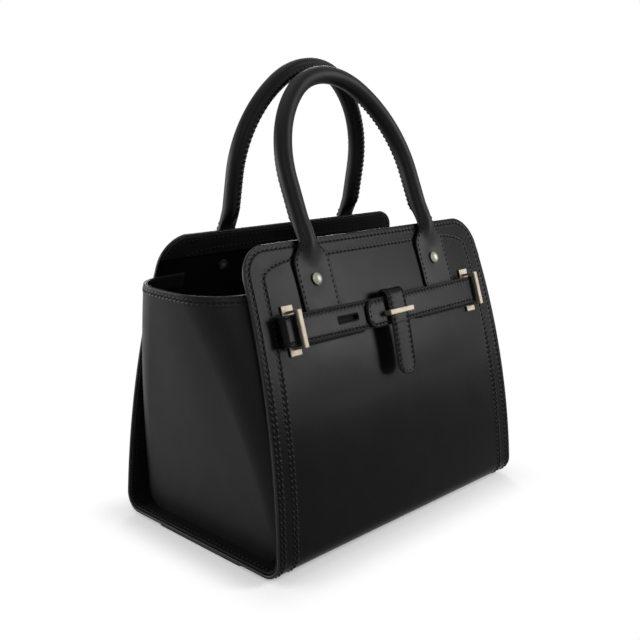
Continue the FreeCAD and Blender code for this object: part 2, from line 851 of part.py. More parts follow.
def round_bar(bar, staple, bar_high):
    """Round the edges of a bridge's outer face."""
    level = bar_high.number
    picked = []
    for index, edge in enumerate(staple.Shape.Edges, start=1):
        if all(abs(vertex.Z - level) < 0.001 for vertex in edge.Vertexes):
            picked.append("Edge%d" % index)
    rounding = bar.newObject("PartDesign::Fillet", staple.Name + "Round")
    rounding.Base = (staple, picked)
    bind(rounding, "Radius", size("bridge_bar_round"))
    staple.Visibility = False


def add_holed_plate(body, name, deep, long, low, high, turned):
    sketch = new_sketch(body, "XY_Plane", name, low)
    if turned:
        draw_box(sketch, -long, long, -deep, deep)
    else:
        draw_box(sketch, -deep, deep, -long, long)
    for leg in (-1, 1):
        leg_hole(sketch, 0, leg, turned)
    pad(body, sketch, high - low)


def make_bridges():
    bar_low = belt_face + size("bridge_bar_lift")
    foot = -(thickness + size("backing_clearance") + size("backing_thickness"))
    bars = []
    for name, side in (("left", -1), ("right", 1)):
        across = bridge_across * side
        bars.append(make_bridge(name, across, foot, bar_low))
        make_bridge_plate(name, across)
    centre_foot = belt_level - seat - size("backing_thickness")
    centre_bar = strap_face + size("strap_play")
    drop = size("centre_bar_drop")
    bars.append(make_bridge("centre", formula(0), centre_foot, centre_bar, drop, turned=True))
    doc.recompute()
    for bar, staple, bar_high in bars:
        round_bar(bar, staple, bar_high)


def make_closure_strap():
    """Strap sewn behind the belt, looped over its top edge and down under the centre bridge."""
    loop = new_body("closure_strap")
    thick = size("strap_thickness")
    top = size("strap_loop_rise")
    root_low = -size("strap_root")
    end = -size("tongue_hinge") + thick / 2 + size("tongue_gap")
    back_face = seat + thick
    outer = (strap_face - seat) / 2
    inner = outer - thick
    middle = seat + outer
    points = [
        (root_low, seat),
        (top, seat),
        (top + outer, middle),
        (top, strap_face),
        (end, strap_face),
        (end, strap_level),
        (top, strap_level),
        (top + inner, middle),
        (top, back_face),
        (root_low, back_face),
    ]
    bends = {1: (outer, 1), 2: (outer, 1), 6: (inner, -1), 7: (inner, -1)}
    profile = new_sketch(loop, "YZ_Plane", "StrapLoop")
    draw(profile, points, bends)
    pad(loop, profile, size("strap_width"), symmetric=True)
    set_belt_frame(loop)
    nodes.append(loop)
    make_closure_tongue()


def make_closure_tongue():
    """Free end of the strap, rounded at its tip and round about the line where it bends."""
    tongue = new_body("closure_tongue")
    half_thick = size("strap_thickness") / 2
    tip = -size("tongue_length")
    profile = new_sketch(tongue, "YZ_Plane", "TongueProfile")
    points = [(tip, -half_thick), (0, -half_thick), (half_thick, 0), (0, half_thick), (tip, half_thick)]
    draw(profile, points, {1: (half_thick, 1), 2: (half_thick, 1)})
    pad(tongue, profile, size("strap_width"), symmetric=True)
    half = size("strap_width") / 2
    rounding = new_sketch(tongue, "XY_Plane", "TongueTip")
    below = tip - half
    for side in (-1, 1):
        points = [(0, tip), (half * side, tip + half), (half * 2 * side, tip + half)]
        points += [(half * 2 * side, below), (0, below)]
        draw(rounding, points, {0: (half, side)})
    cut(tongue, rounding, half_thick * 6)
    drop = -size("tongue_hinge")
    level = (strap_level + strap_face) / 2
    out = belt_out + level * cos(belt_lean) - drop * sin(belt_lean)
    up = belt_up + level * sin(belt_lean) + drop * cos(belt_lean)
    set_frame(tongue, 0, -out, up, formula(90) - belt_lean + size("tongue_tilt"))
    nodes.append(tongue)


def inner_reach(up, depth):
    """Half depth, at a height, of the surface that lies a depth inside the body's outer face."""
    if up < fold_up.number:
        radius = fold.number - depth
        return fold_out.number + math.sqrt(max(radius ** 2 - (fold_up.number - up) ** 2, 0.0))
    radius = panel_radius.number - depth
    return centre_out.number + math.sqrt(radius ** 2 - (up - centre_up.number) ** 2)


def gusset_section(up, low, high, inset, wall_thickness):
    """Level cut through the left gusset's bowed wall, set in from its outer face."""
    share = (up - low) / (high - low)
    base = (half_width - size("gusset_base_inset")).number
    top = (half_width + size("gusset_bulge")).number
    wall = base + (top - base) * share ** size("gusset_bow").number
    base, top = size("gusset_corner_base").number, size("gusset_corner_top").number
    corner = base + (top - base) * share
    seam = gusset_seam.number
    sunk = (thickness + seat + size("gusset_thickness") / 2).number
    reach = inner_reach(up, sunk)

    def rim(depth):
        side = wall - depth
        bend = corner - depth
        deep = reach - depth
        slant = bend * math.sqrt(0.5)
        front = [
            FreeCAD.Vector(-seam, -deep, up),
            FreeCAD.Vector(bend - side, -deep, up),
            FreeCAD.Vector(bend - side - slant, bend - deep - slant, up),
            FreeCAD.Vector(-side, bend - deep, up),
        ]
        rear = [FreeCAD.Vector(spot.x, -spot.y, up) for spot in reversed(front)]
        return front + rear

    edges = []
    for spots, backwards in ((rim(inset), False), (rim(inset + wall_thickness), True)):
        if backwards:
            spots = spots[::-1]
        if edges:
            edges.append(Part.makeLine(last, spots[0]))
        else:
            first = spots[0]
        edges.append(Part.makeLine(spots[0], spots[1]))
        edges.append(Part.Arc(spots[1], spots[2], spots[3]).toShape())
        edges.append(Part.makeLine(spots[3], spots[4]))
        edges.append(Part.Arc(spots[4], spots[5], spots[6]).toShape())
        edges.append(Part.makeLine(spots[6], spots[7]))
        last = spots[7]
    edges.append(Part.makeLine(last, first))
    return Part.Wire(edges)


def gusset_flange(high):
    """Turned edges of the left gusset: a strip along front panel, base and rear panel."""
    outer_depth = (thickness + seat).number
    inner_depth = outer_depth + size("gusset_thickness").number

    def rim(depth):
        radius = panel_radius.number - depth
        end = math.asin((high - centre_up.number) / radius)
        begin = math.radians(lean_base.number)
        bend = fold.number - depth
        spots = []
        turns = [(centre_out, centre_up, radius, angle) for angle in (end, (end + begin) / 2, begin)]
        for angle in ((begin - math.pi / 2) / 2, -math.pi / 2):
            turns.append((fold_out, fold_up, bend, angle))
        for middle_out, middle_up, reach, angle in turns:
            out = middle_out.number + reach * math.cos(angle)
            spots.append((out, middle_up.number + reach * math.sin(angle)))
        front = [FreeCAD.Vector(0, -out, up) for out, up in spots]
        return front + [FreeCAD.Vector(0, -spot.y, spot.z) for spot in reversed(front)]

    def chain(spots):
        edges = [Part.Arc(*spots[0:3]).toShape(), Part.Arc(*spots[2:5]).toShape()]
        edges.append(Part.makeLine(spots[4], spots[5]))
        return edges + [Part.Arc(*spots[5:8]).toShape(), Part.Arc(*spots[7:10]).toShape()]

    outer, inner = rim(outer_depth), rim(inner_depth)
    edges = chain(outer) + [Part.makeLine(outer[-1], inner[-1])]
    edges += chain(inner[::-1]) + [Part.makeLine(inner[0], outer[0])]
    band = Part.Face(Part.Wire(edges))
    seam = gusset_seam.number
    half = size("base_width").number / 2
    band.translate(FreeCAD.Vector(-half, 0, 0))
    strip = band.extrude(FreeCAD.Vector(half - seam, 0, 0))
    edge = half - size("flange_edge_gap").number
    above = top_up.number
    deep = size("base_depth").number
    corners = [(-seam, 0), (-edge, 0), (side_taper.number * above - edge, above), (-seam, above), (-seam, 0)]
    frame = Part.makePolygon([FreeCAD.Vector(across, -deep, up) for across, up in corners])
    return strip.common(Part.Face(frame).extrude(FreeCAD.Vector(0, deep * 2, 0)))


def make_gussets():
    """Bowed side walls whose turned edges are sewn to the body, with a hem inside the top."""
    wall_thickness = size("gusset_thickness").number
    sunk = (thickness + seat).number + wall_thickness / 2
    low = floor_gap.number + sunk
    high = (top_up - size("gusset_drop")).number
    bend = fold.number - sunk
    levels = [fold_up.number - bend * math.cos(math.radians(turn)) for turn in (0, 30, 60, 90)]
    hem_low = high - size("hem_height").number
    levels += [fold_up.number + (hem_low - fold_up.number) * step / 5 for step in range(1, 6)] + [high]
    wall = Part.makeLoft([gusset_section(up, low, high, 0.0, wall_thickness) for up in levels], True, True)
    left = doc.addObject("Part::Feature", "left_gusset")
    left.Label = "left_gusset"
    left.Shape = gusset_flange(high).fuse(wall).removeSplitter()
    inset = wall_thickness + seat.number
    rims = [gusset_section(up, low, high, inset, size("hem_thickness").number) for up in (hem_low, high)]
    hem = doc.addObject("Part::Feature", "left_gusset_hem")
    hem.Label = "left_gusset_hem"
    hem.Shape = Part.makeLoft(rims, True, True)
    nodes.extend([left, hem])
    nodes.append(mirror(left, "right_gusset", ACROSS))
    nodes.append(mirror(hem, "right_gusset_hem", ACROSS))


make_body_wrap()
make_base_pad()
make_base_board()
make_top_facings()
make_gussets()
make_handle_tabs()
make_rivets()
make_handle("front", True)
make_handle("rear", False)
make_left_belt()
make_right_belt()
make_bridges()
make_closure_strap()
doc.recompute()

for item in doc.Objects:
    if "Invalid" in item.State or "Error" in item.State:
        raise RuntimeError("%s did not compute: %s" % (item.Label, item.State))

os.makedirs("parts", exist_ok=True)
for node in nodes:
    if node.Shape.isNull() or not node.Shape.isValid():
        raise RuntimeError("%s has no valid shape" % node.Label)
    node.Shape.exportStep("parts/%s.step" % node.Label)
    box = node.Shape.BoundBox
    print("%-24s %d solids %9.0f mm3  X %7.1f %7.1f  Y %7.1f %7.1f  Z %7.1f %7.1f" % (
        node.Label, len(node.Shape.Solids), node.Shape.Volume,
        box.XMin, box.XMax, box.YMin, box.YMax, box.ZMin, box.ZMax))
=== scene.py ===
import math
from collections import namedtuple
import bmesh
import bpy
import numpy as np
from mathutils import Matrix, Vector
from mathutils.kdtree import KDTree


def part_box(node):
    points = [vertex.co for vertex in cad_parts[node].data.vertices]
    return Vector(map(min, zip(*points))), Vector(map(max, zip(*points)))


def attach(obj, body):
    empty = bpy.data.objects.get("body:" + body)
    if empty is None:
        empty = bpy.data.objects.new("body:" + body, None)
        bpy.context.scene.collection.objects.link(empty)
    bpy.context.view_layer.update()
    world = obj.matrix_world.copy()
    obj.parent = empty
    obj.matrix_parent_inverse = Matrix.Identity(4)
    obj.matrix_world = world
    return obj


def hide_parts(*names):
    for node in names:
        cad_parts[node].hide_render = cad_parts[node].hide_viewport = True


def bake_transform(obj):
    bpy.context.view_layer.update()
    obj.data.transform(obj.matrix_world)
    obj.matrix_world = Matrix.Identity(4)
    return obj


# Top handle bag of smooth black leather. Lengths are in millimetres until a mesh is made.
# +X is the bag's right, -Y its front and +Z up, as in the frame.

MM = 0.001
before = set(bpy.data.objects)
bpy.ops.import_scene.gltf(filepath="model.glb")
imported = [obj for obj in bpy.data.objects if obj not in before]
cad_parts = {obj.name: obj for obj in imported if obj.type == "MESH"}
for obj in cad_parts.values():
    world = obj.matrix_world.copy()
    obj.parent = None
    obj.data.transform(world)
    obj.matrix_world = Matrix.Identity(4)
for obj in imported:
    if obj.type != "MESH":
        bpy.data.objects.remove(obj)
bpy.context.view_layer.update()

wrap_low, wrap_high = [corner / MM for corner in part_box("body_wrap")]
pad_low, pad_high = [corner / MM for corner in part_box("base_pad")]
RIGHT = np.array([1.0, 0.0, 0.0])
MIRROR = np.array([-1.0, 1.0, 1.0])

# Body: one leather piece that runs from the front panel under the base to the rear panel.
FLOOR_GAP = wrap_low.z
TOP = wrap_high.z
HALF_DEPTH = wrap_high.y
BASE_HALF = 155.0
MOUTH_HALF = 143.5
MOUTH_OUT = 45.5
WRAP_THICK = 2.8
FOLD = 16.0
BASE_TILT = math.radians(2.5)
CORNER = 26.0
SEAT = 0.15
EDGE_ROUND = 0.8
EDGE_EASE = 0.29 * EDGE_ROUND
EDGE_ROWS = np.array([0.0, 0.23, 0.8])
FINE_STEP = 0.5
BACK_COLUMNS = 25
PAD_CORNER = 4.0
PAD_RIM = ((0.0, 1.0), (0.3, 0.3), (1.0, 0.0), (1.6, 0.0), (2.2, 0.3), (FLOOR_GAP, 1.0))

# Give of the panels between their seams, below the belt.
SAG = 1.1
SAG_START = 88.0
SAG_FADE = 45.0
SAG_FOOT = 50.0
SAG_HALF = 135.0
RIPPLE = 0.35
RIPPLE_ACROSS = 38.0
RIPPLE_RUN = 47.0
RIPPLE_PHASE = 1.1

# Seams of the body: threads in a groove, with swells of the leather beside it.
PITCH = 4.6
OUTER_ROW = 4.8
INNER_ROW = 18.0
TOP_ROW = 4.6
SECOND_TOP_ROW = 14.5
INNER_ROW_BEND = 13.0
INNER_ROW_REACH = 40.0
OUTER_SEAM = (OUTER_ROW, TOP_ROW, CORNER - OUTER_ROW, CORNER - OUTER_ROW)
INNER_SEAM = (INNER_ROW, SECOND_TOP_ROW, INNER_ROW_BEND, INNER_ROW_REACH)
SEAM_BAND = 24.0
SEAM_FOOT = 20.0
SEAM_SINK = 0.25
RELIEF_FOOT = 30.0
RELIEF_REACH = 5.0
GROOVE = 0.1
GROOVE_BEAT = 0.25
GROOVE_HALF = 0.75
SWELL = 0.2
SWELL_OUT = 1.5
SWELL_HALF = 0.65
LOW_SWELL = 0.6
LOW_SWELL_OUT = 1.75
LOW_SWELL_HALF = 0.95
LOW_SWELL_START = 80.0
LOW_SWELL_FADE = 100.0

# Gussets.
GUSSET_THICK = 2.0
GUSSET_TOP = TOP - 34.0
GUSSET_SEAM = 118.0
GUSSET_WALL_BASE = 140.0
GUSSET_WALL_TOP = 178.0
GUSSET_BOW = 1.25
GUSSET_ROW = 5.0
GUSSET_SINK = 0.2
GUSSET_SWELL = 0.55
GUSSET_CORNER_BASE = 15.0
GUSSET_CORNER_TOP = 40.0
GUSSET_SLACK = 1.5
GUSSET_WAVES = ((15.0, 0.5, 0.9), (27.0, -0.9, 0.8))
GUSSET_EDGE = ((GUSSET_TOP - 0.2, 0.2), (GUSSET_TOP, 0.6))
HEM_HEIGHT = 13.0
HEM_THICK = 1.2
HEM_ROUND = 0.4
FACING_HEIGHT = 20.0
FACING_THICK = 1.4
LAYER_INSET = 1.0
LAYER_ROUND = 0.6
LAYER_DEPTH = WRAP_THICK + SEAT

# Handles and their tabs.
HANDLE_ACROSS = 74.5
ROLL = 7.5
LEG = 41.5
ARCH = 90.4
CROWN = 60.0
HINGE_RISE = 5.5
BEND_BELOW = 5.0
BEND_ABOVE = 9.0
NECK = 14.0
NECK_HALF = 8.5
TAB_HALF = 19.5
TAB_FLARE = 20.0
TAB_THICK = 2.2
TAB_RISE = 1.3
TAB_RISE_RUN = 30.0
TAB_FOOT = TOP - 55.0
TAB_CORNER = 4.0
TAB_SQUARE = 7.0
TAB_EASE = 3.8
TAB_EASE_RUN = 16.0
ROUND = 2.0
SECTION = 72
SEAM_PITCH = 4.4
SEAM_HALF = 1.5
SEAM_RADIUS = 0.55
FIN_RISE = 2.2
FIN_BEAT = 0.6
FIN_HALF = 2.2
FIN_CREASE = 0.35
CREASE_TURN = 0.62
CREASE_HALF = 0.2
RIDGE_SINK = 0.4
RIDGE_LEAN = 0.5
RIDGE_ROLL = 0.55
TAB_SINK = 0.12
TAB_LEAN = 0.25
TAB_ROLL = 0.15
FRONT_TILT = math.radians(22.0)
REAR_TILT = math.radians(10.5)
RIVET_UP = TOP - 31.0
RIVET_DENT = 0.8
DENT_RISE = 3.0
DENT_TALL = 11.0
DENT_WIDE = 7.0
BULGE = 5.2
BULGE_HALF = 8.5
BULGE_DROP = 25.0

# Belt and closure, outward of the front panel.
BELT_UP = TOP - 64.1
BELT_HALF = 12.0
BELT_HANG = 1.6
BELT_BOW = 0.5
BELT_STEP = 1.5
BELT_THICK = 2.4
BELT_FOLD = 123.5
BELT_LEVEL = 8.65
RETURN_LEVEL = 3.05
RETURN_END = 36.0
RETURN_DROP = 2.6
RETURN_DROP_RUN = 26.0
LEFT_END = 20.0
LEFT_DIP = 5.0
LEFT_ROW_START = 40.0
ROW_END = 2.0
RIGHT_END = 34.0
BELT_END_BEND = 9.0
SLOT_ACROSS = -56.3
SLOT_HALF = 12.5
SLOT_WIDTH = 4.0
SLOT_LEVELS = (4.9, 12.0)
STRAP_HALF = 11.2
STRAP_THICK = 2.2
STRAP_ROOT = 8.0
STRAP_RISE = 9.6
STRAP_BACK = SEAT + STRAP_THICK / 2
STRAP_FRONT = 12.4
STRAP_ROW = 2.6
STRAP_ROW_START = 24.0
STRAP_SINK = 0.2
STRAP_PITCH = 4.3
STRAP_GROOVE_HALF = 0.7
STRAP_SWELL = 0.42
STRAP_SWELL_OUT = 1.3
STRAP_SWELL_HALF = 0.55
STRAP_COLUMNS = np.array([0.5, 0.95, 1.35, 1.75, 2.15, STRAP_ROW, 3.05, 3.45, 3.85, 4.3, 5.6, 8.0])
STRAP_MIDDLE = 11.0
STRAP_ENDS = np.array([0.0, 0.15, 0.5, 1.0, 1.8, 2.8, 4.0, 5.5, 7.0, 9.0, 11.2])
STRAP_STEP = 0.72
STRAP_EASE = 0.16
STRAP_THIN = 0.45
STRAP_FLANK = 0.45
TONGUE_HINGE = 8.0
TONGUE_LENGTH = 49.2
TONGUE_TILT = math.radians(5.0)
TONGUE_TILT_RUN = 6.0
TONGUE_BEND = STRAP_HALF - 0.3
BLEND_UP = 4.0
BLEND_OUT = 3.0

# Bridges: bar on two legs; the outer two stand on plates.
BRIDGE_ACROSS = 112.3
CENTRE_BAR_DROP = 3.6
BAR_NEAR = 12.8
BAR_FAR = 15.0
BAR_HALF = 2.3
BAR_THICK = 3.2
BAR_ROUND = 0.8
LEG_SLIM = 0.2
LEG_INSET = 0.05
LEG_SINK = 2.0
SMALL_ROUND = 0.4
SIDE_LEVELS = (0.9, 11.65)
CENTRE_LEVELS = (9.0, 13.8)
PLATE_HALF = 5.8
PLATE_REACH = 19.5
PLATE_TOP = 1.55

# Panel profile: an arc that leans in from the fold to the top edge.
fold_out = HALF_DEPTH - FOLD
fold_up = FLOOR_GAP + FOLD
start_out = fold_out + FOLD * math.cos(BASE_TILT)
start_up = fold_up + FOLD * math.sin(BASE_TILT)
chord_lean = math.atan2(start_out - MOUTH_OUT, TOP - start_up)
TOP_LEAN = 2 * chord_lean - BASE_TILT
chord = math.hypot(start_out - MOUTH_OUT, TOP - start_up)
RADIUS = chord / (2 * math.sin((TOP_LEAN - BASE_TILT) / 2))
centre_out = start_out - RADIUS * math.cos(BASE_TILT)
centre_up = start_up - RADIUS * math.sin(BASE_TILT)
PANEL_RUN = RADIUS * (TOP_LEAN - BASE_TILT)
FOLD_RUN = FOLD * (BASE_TILT + math.pi / 2)
HALF_RUN = PANEL_RUN + FOLD_RUN + fold_out
side_taper = (BASE_HALF - MOUTH_HALF) / TOP


def smooth_step(share):
    share = np.clip(share, 0.0, 1.0)
    return share * share * (3 - 2 * share)


def bell(gap, half, power=2):
    """1 without a gap, falling off smoothly on both sides."""
    return np.exp(-(gap / half) ** power)


def unit(vectors):
    return vectors / np.linalg.norm(vectors, axis=-1, keepdims=True)


def way_along(points):
    """Way from the first point of a path to each of its points."""
    steps = np.linalg.norm(np.diff(points, axis=0), axis=1)
    return np.concatenate([[0.0], np.cumsum(steps)])


def read_along(places, way, table):
    """Points or directions of a path at places along it."""
    return np.stack([np.interp(places, way, table[:, axis]) for axis in range(3)], axis=-1)


def profile(run):
    """Half depth, height and outward direction of the body's outer face, by the way from its top edge."""
    run = np.asarray(run, float)
    on_panel = run < PANEL_RUN
    lean = np.where(on_panel, TOP_LEAN - run / RADIUS, BASE_TILT - (run - PANEL_RUN) / FOLD)
    lean = np.maximum(lean, -math.pi / 2)
    flat = np.maximum(run - PANEL_RUN - FOLD_RUN, 0.0)
    out = np.where(on_panel, centre_out + RADIUS * np.cos(lean), fold_out + FOLD * np.cos(lean) - flat)
    up = np.where(on_panel, centre_up + RADIUS * np.sin(lean), fold_up + FOLD * np.sin(lean))
    return out, up, np.cos(lean), np.sin(lean)


def run_at(up):
    """Way from the top edge to a height on the panel."""
    return RADIUS * (TOP_LEAN - math.asin((up - centre_up) / RADIUS))


def straight_half(up):
    return BASE_HALF - side_taper * np.asarray(up, float)


def edge_half(up):
    """Half width of a panel at a height, its rounded top corners included."""
    up = np.asarray(up, float)
    taper = math.atan(side_taper)
    run = CORNER * math.cos(taper) / (1 + math.sin(taper))
    middle = float(straight_half(TOP)) - run
    arch = np.sqrt(np.maximum(CORNER ** 2 - (up - (TOP - CORNER)) ** 2, 0.0))
    return np.where(up > TOP - run * math.cos(taper), middle + arch, straight_half(up))


def sag(across, run):
    """How far the leather gives between its seams, below the belt."""
    below = smooth_step((run - SAG_START) / SAG_FADE) * smooth_step((PANEL_RUN - run) / SAG_FOOT)
    inside = 1 - np.minimum(np.abs(across) / SAG_HALF, 1.0) ** 4
    ripple = RIPPLE * np.sin(across / RIPPLE_ACROSS + RIPPLE_PHASE) * np.sin(run / RIPPLE_RUN)
    return below * inside * (ripple - SAG)


def on_body(across, run, outward, side):
    """Points and outward directions on the body; side is -1 on the front half and 1 on the rear half."""
    across = np.asarray(across, float)
    out, up, lean_out, lean_up = profile(run)
    lift = np.asarray(outward, float) + sag(across, np.asarray(run, float))
    points = np.stack([across, side * (out + lean_out * lift), up + lean_up * lift], axis=-1)
    normals = np.stack([np.zeros_like(across), side * lean_out + 0 * across, lean_up + 0 * across], axis=-1)
    return points, normals


# Pieces.


def link(name, data):
    piece = bpy.data.objects.new(name, data)
    bpy.context.scene.collection.objects.link(piece)
    return piece


def make_piece(name, points, faces, material, edge=None, edge_faces=()):
    """Smooth mesh from points in millimetres; cut edges and end caps may have a material of their own."""
    mesh = bpy.data.meshes.new(name)
    mesh.from_pydata((np.asarray(points) * MM).tolist(), [], [list(face) for face in faces])
    mesh.materials.append(material)
    if edge is not None:
        mesh.materials.append(edge)
        for index in (*edge_faces, len(faces) - 2, len(faces) - 1):
            mesh.polygons[index].material_index = 1
    mesh.polygons.foreach_set("use_smooth", [True] * len(mesh.polygons))
    mesh.update()
    return link(name, mesh)


def dress(piece, body, slot, *nodes):
    """Put a finished piece on its body and hide the solids that it stands for; the slot is not used."""
    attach(piece, body)
    if nodes:
        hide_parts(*nodes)


def dress_bending(piece, body, start, end, *nodes):
    """Bake a finished piece's placement into its mesh and hide the solids that it stands for; body, start
    and end are not used.
    """
    if nodes:
        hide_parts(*nodes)
    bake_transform(piece)


def ring_faces(rings, count):
    """Quads between closed rings of points, one after the other, and a cap at each end."""
    faces = []
    for low in range(0, (rings - 1) * count, count):
        high = low + count
        for spot in range(count):
            after = (spot + 1) % count
            faces.append((low + spot, low + after, high + after, high + spot))
    faces.append(tuple(reversed(range(count))))
    faces.append(tuple(range((rings - 1) * count, rings * count)))
    return faces


def flipped(faces):
    return [tuple(reversed(face)) for face in faces]


# Materials.


class Nodes:
    """A node tree whose nodes are made with their sockets set or linked."""

    def __init__(self, tree):
        self.nodes = tree.nodes
        self.links = tree.links

    def put(self, socket, value):
        if isinstance(value, bpy.types.NodeSocket):
            self.links.new(value, socket)
        else:
            socket.default_value = value

    def fill(self, node, **values):
        for name, value in values.items():
            self.put(node.inputs[name.replace("_", " ")], value)

    def add(self, kind, **values):
        node = self.nodes.new(kind)
        self.fill(node, **values)
        return node

    def feed(self, kind, operation, *values):
        """Outputs of a new node whose inputs are given in their order."""
        node = self.nodes.new(kind)
        if operation:
            node.operation = operation
        for socket, value in zip(node.inputs, values):
            self.put(socket, value)
        return node.outputs


class Shader(Nodes):
    """A surface with the few textures that leather, thread and metal share."""

    def __init__(self, name):
        self.material = bpy.data.materials.new(name)
        self.material.use_nodes = True
        super().__init__(self.material.node_tree)
        self.place = self.add("ShaderNodeTexCoord").outputs["Object"]

    def noise(self, scale, detail=3.0, rough=0.5, warp=0.0):
        node = self.add("ShaderNodeTexNoise", Vector=self.place, Scale=scale, Detail=detail)
        self.fill(node, Roughness=rough, Distortion=warp)
        return node.outputs["Fac"]

    def cells(self, scale):
        return self.add("ShaderNodeTexVoronoi", Vector=self.place, Scale=scale).outputs["Distance"]

    def ramp(self, source, high, first, last):
        """Colour that goes from one tone to another as a texture rises."""
        node = self.add("ShaderNodeValToRGB", Fac=source)
        for stop, position, tone in zip(node.color_ramp.elements, (0.3, high), (first, last)):
            stop.position = position
            stop.color = (*tone, 1.0)
        return node.outputs["Color"]

    def span(self, source, low, high):
        """Number that goes from low to high as a texture rises."""
        node = self.add("ShaderNodeMapRange", Value=source, From_Min=0.3, From_Max=0.7)
        self.fill(node, To_Min=low, To_Max=high)
        return node.outputs["Result"]

    def bump(self, source, strength, depth, under=None):
        node = self.add("ShaderNodeBump", Height=source, Strength=strength, Distance=depth)
        if under is not None:
            self.fill(node, Normal=under)
        return node.outputs["Normal"]

    def finish(self, **values):
        self.fill(self.nodes["Principled BSDF"], **values)
        return self.material


def leather(name, dark, light, smooth, dull, grain=0.25, specular=0.05):
    """Smooth calf leather: fine pores, faint creases and a slightly uneven polish."""
    made = Shader(name)
    pores = made.bump(made.cells(950.0), grain, 0.00012)
    return made.finish(
        Base_Color=made.ramp(made.noise(22.0, 4.0, 0.55, 0.4), 0.72, dark, light),
        Roughness=made.span(made.noise(60.0), smooth, dull),
        Normal=made.bump(made.noise(260.0, 6.0, 0.6, 0.6), grain * 0.7, 0.00016, pores),
        Specular_IOR_Level=specular,
    )


def metal(name, dark, light, smooth, dull):
    """Polished plated metal with fine scratches and a faint tarnish."""
    made = Shader(name)
    return made.finish(
        Base_Color=made.ramp(made.noise(90.0, 4.0), 0.7, dark, light),
        Roughness=made.span(made.noise(700.0, 4.0, 0.7, 1.5), smooth, dull),
        Normal=made.bump(made.noise(1800.0, 2.0, 0.6, 3.0), 0.06, 0.00003),
        Metallic=1.0,
    )


def fibre(name, dark, light, scale, strength):
    """Dull fibrous stuff: board, cord and thread."""
    made = Shader(name)
    return made.finish(
        Base_Color=made.ramp(made.noise(scale, 5.0, 0.6), 0.7, dark, light),
        Roughness=made.span(made.noise(scale * 2, 2.0), 0.55, 0.8),
        Normal=made.bump(made.noise(scale * 3, 4.0, 0.7, 1.0), strength, 0.0002),
        Specular_IOR_Level=0.08,
    )


BLACK = (0.0016, 0.0016, 0.0018)
STRAP_BLACK = (0.0032, 0.0032, 0.0035)
body_leather = leather("body_leather", BLACK, (0.0030, 0.0030, 0.0033), 0.28, 0.33, specular=0.04)
gusset_leather = leather(
    "gusset_leather", (0.0018, 0.0018, 0.0021), (0.0034, 0.0034, 0.0038), 0.40, 0.46, specular=0.1
)
strap_leather = leather("strap_leather", BLACK, STRAP_BLACK, 0.31, 0.37)
handle_leather = leather("handle_leather", BLACK, STRAP_BLACK, 0.42, 0.48, specular=0.09)
lining_leather = leather(
    "lining_leather", (0.0020, 0.0020, 0.0022), (0.0035, 0.0035, 0.0038), 0.62, 0.75, grain=0.35
)
edge_paint = leather("edge_paint", (0.010, 0.010, 0.0105), (0.016, 0.016, 0.0165), 0.32, 0.40, 0.12, 0.08)
thread = fibre("waxed_thread", (0.0015, 0.0015, 0.0016), (0.004, 0.004, 0.0042), 1500.0, 0.5)
gold = metal("pale_gold", (0.165, 0.142, 0.113), (0.205, 0.178, 0.145), 0.52, 0.62)
nickel = metal("pale_nickel", (0.175, 0.175, 0.145), (0.215, 0.215, 0.183), 0.42, 0.52)
steel = metal("dull_steel", (0.05, 0.05, 0.052), (0.09, 0.09, 0.092), 0.4, 0.55)
board = fibre("stiffener_board", (0.012, 0.011, 0.010), (0.022, 0.020, 0.018), 300.0, 0.4)
cord = fibre("cotton_core", (0.32, 0.29, 0.24), (0.46, 0.42, 0.36), 500.0, 0.6)


# Threads: every stitch lies in its hole at both ends and bows up between them.
STITCH_HALF = 1.55
STITCH_RADIUS = 0.6
STITCH_RISE = 0.22
STITCH_DIVE = 0.62
STITCH_TAPER = 0.6
STITCH_AHEAD = 0.8
STITCH_RINGS = (-1.0, -0.6, 0.0, 0.6, 1.0)
STITCH_SIDES = 6


def along_path(points, normals, pitch):
    """Middles, directions and outward directions of stitches set a pitch apart on a path."""
    way = way_along(points)
    count = max(int(way[-1] / pitch), 1)
    places = (np.arange(count) + 0.5) * (way[-1] / count)
    before = read_along(np.maximum(places - STITCH_AHEAD, 0.0), way, points)
    after = read_along(np.minimum(places + STITCH_AHEAD, way[-1]), way, points)
    ahead = unit(after - before)
    outward = read_along(places, way, normals)
    outward -= ahead * np.sum(outward * ahead, axis=1)[:, None]
    return read_along(places, way, points), ahead, unit(outward)


def stitches(name, rows, pitch=PITCH, half=STITCH_HALF, radius=STITCH_RADIUS):
    """All threads of some seams as one piece."""
    points = []
    faces = []
    for path, normals in rows:
        middles, ahead, outward = along_path(np.asarray(path), np.asarray(normals), pitch)
        across = np.cross(ahead, outward)
        for middle, along, lift, wide in zip(middles, ahead, outward, across):
            first = len(points)
            for share in STITCH_RINGS:
                rise = STITCH_RISE - STITCH_DIVE * share * share
                centre = middle + along * (half * share) + lift * rise
                girth = radius * math.sqrt(1 - STITCH_TAPER * share * share)
                for spot in range(STITCH_SIDES):
                    turn = 2 * math.pi * spot / STITCH_SIDES
                    aside = wide * (girth * math.cos(turn))
                    points.append(centre + aside + lift * (girth * math.sin(turn)))
            for face in ring_faces(len(STITCH_RINGS), STITCH_SIDES):
                faces.append(tuple(first + spot for spot in face))
    return make_piece(name, points, faces, thread)


def sew(name, rows, pitch=PITCH):
    """Threads of some seams that stay on the bag."""
    dress(stitches(name, rows, pitch), "bag", "strap_leather")


def beat_of(share):
    """1 at each hole of a seam and 0 between two holes, by the way in pitches."""
    return 0.5 + 0.5 * np.cos(2 * math.pi * share)


def groove(gap, beat, half=GROOVE_HALF):
    """Depth of the leather under a row of threads, deepest at the holes."""
    return (GROOVE + GROOVE_BEAT * beat) * bell(gap, half)


# Body.


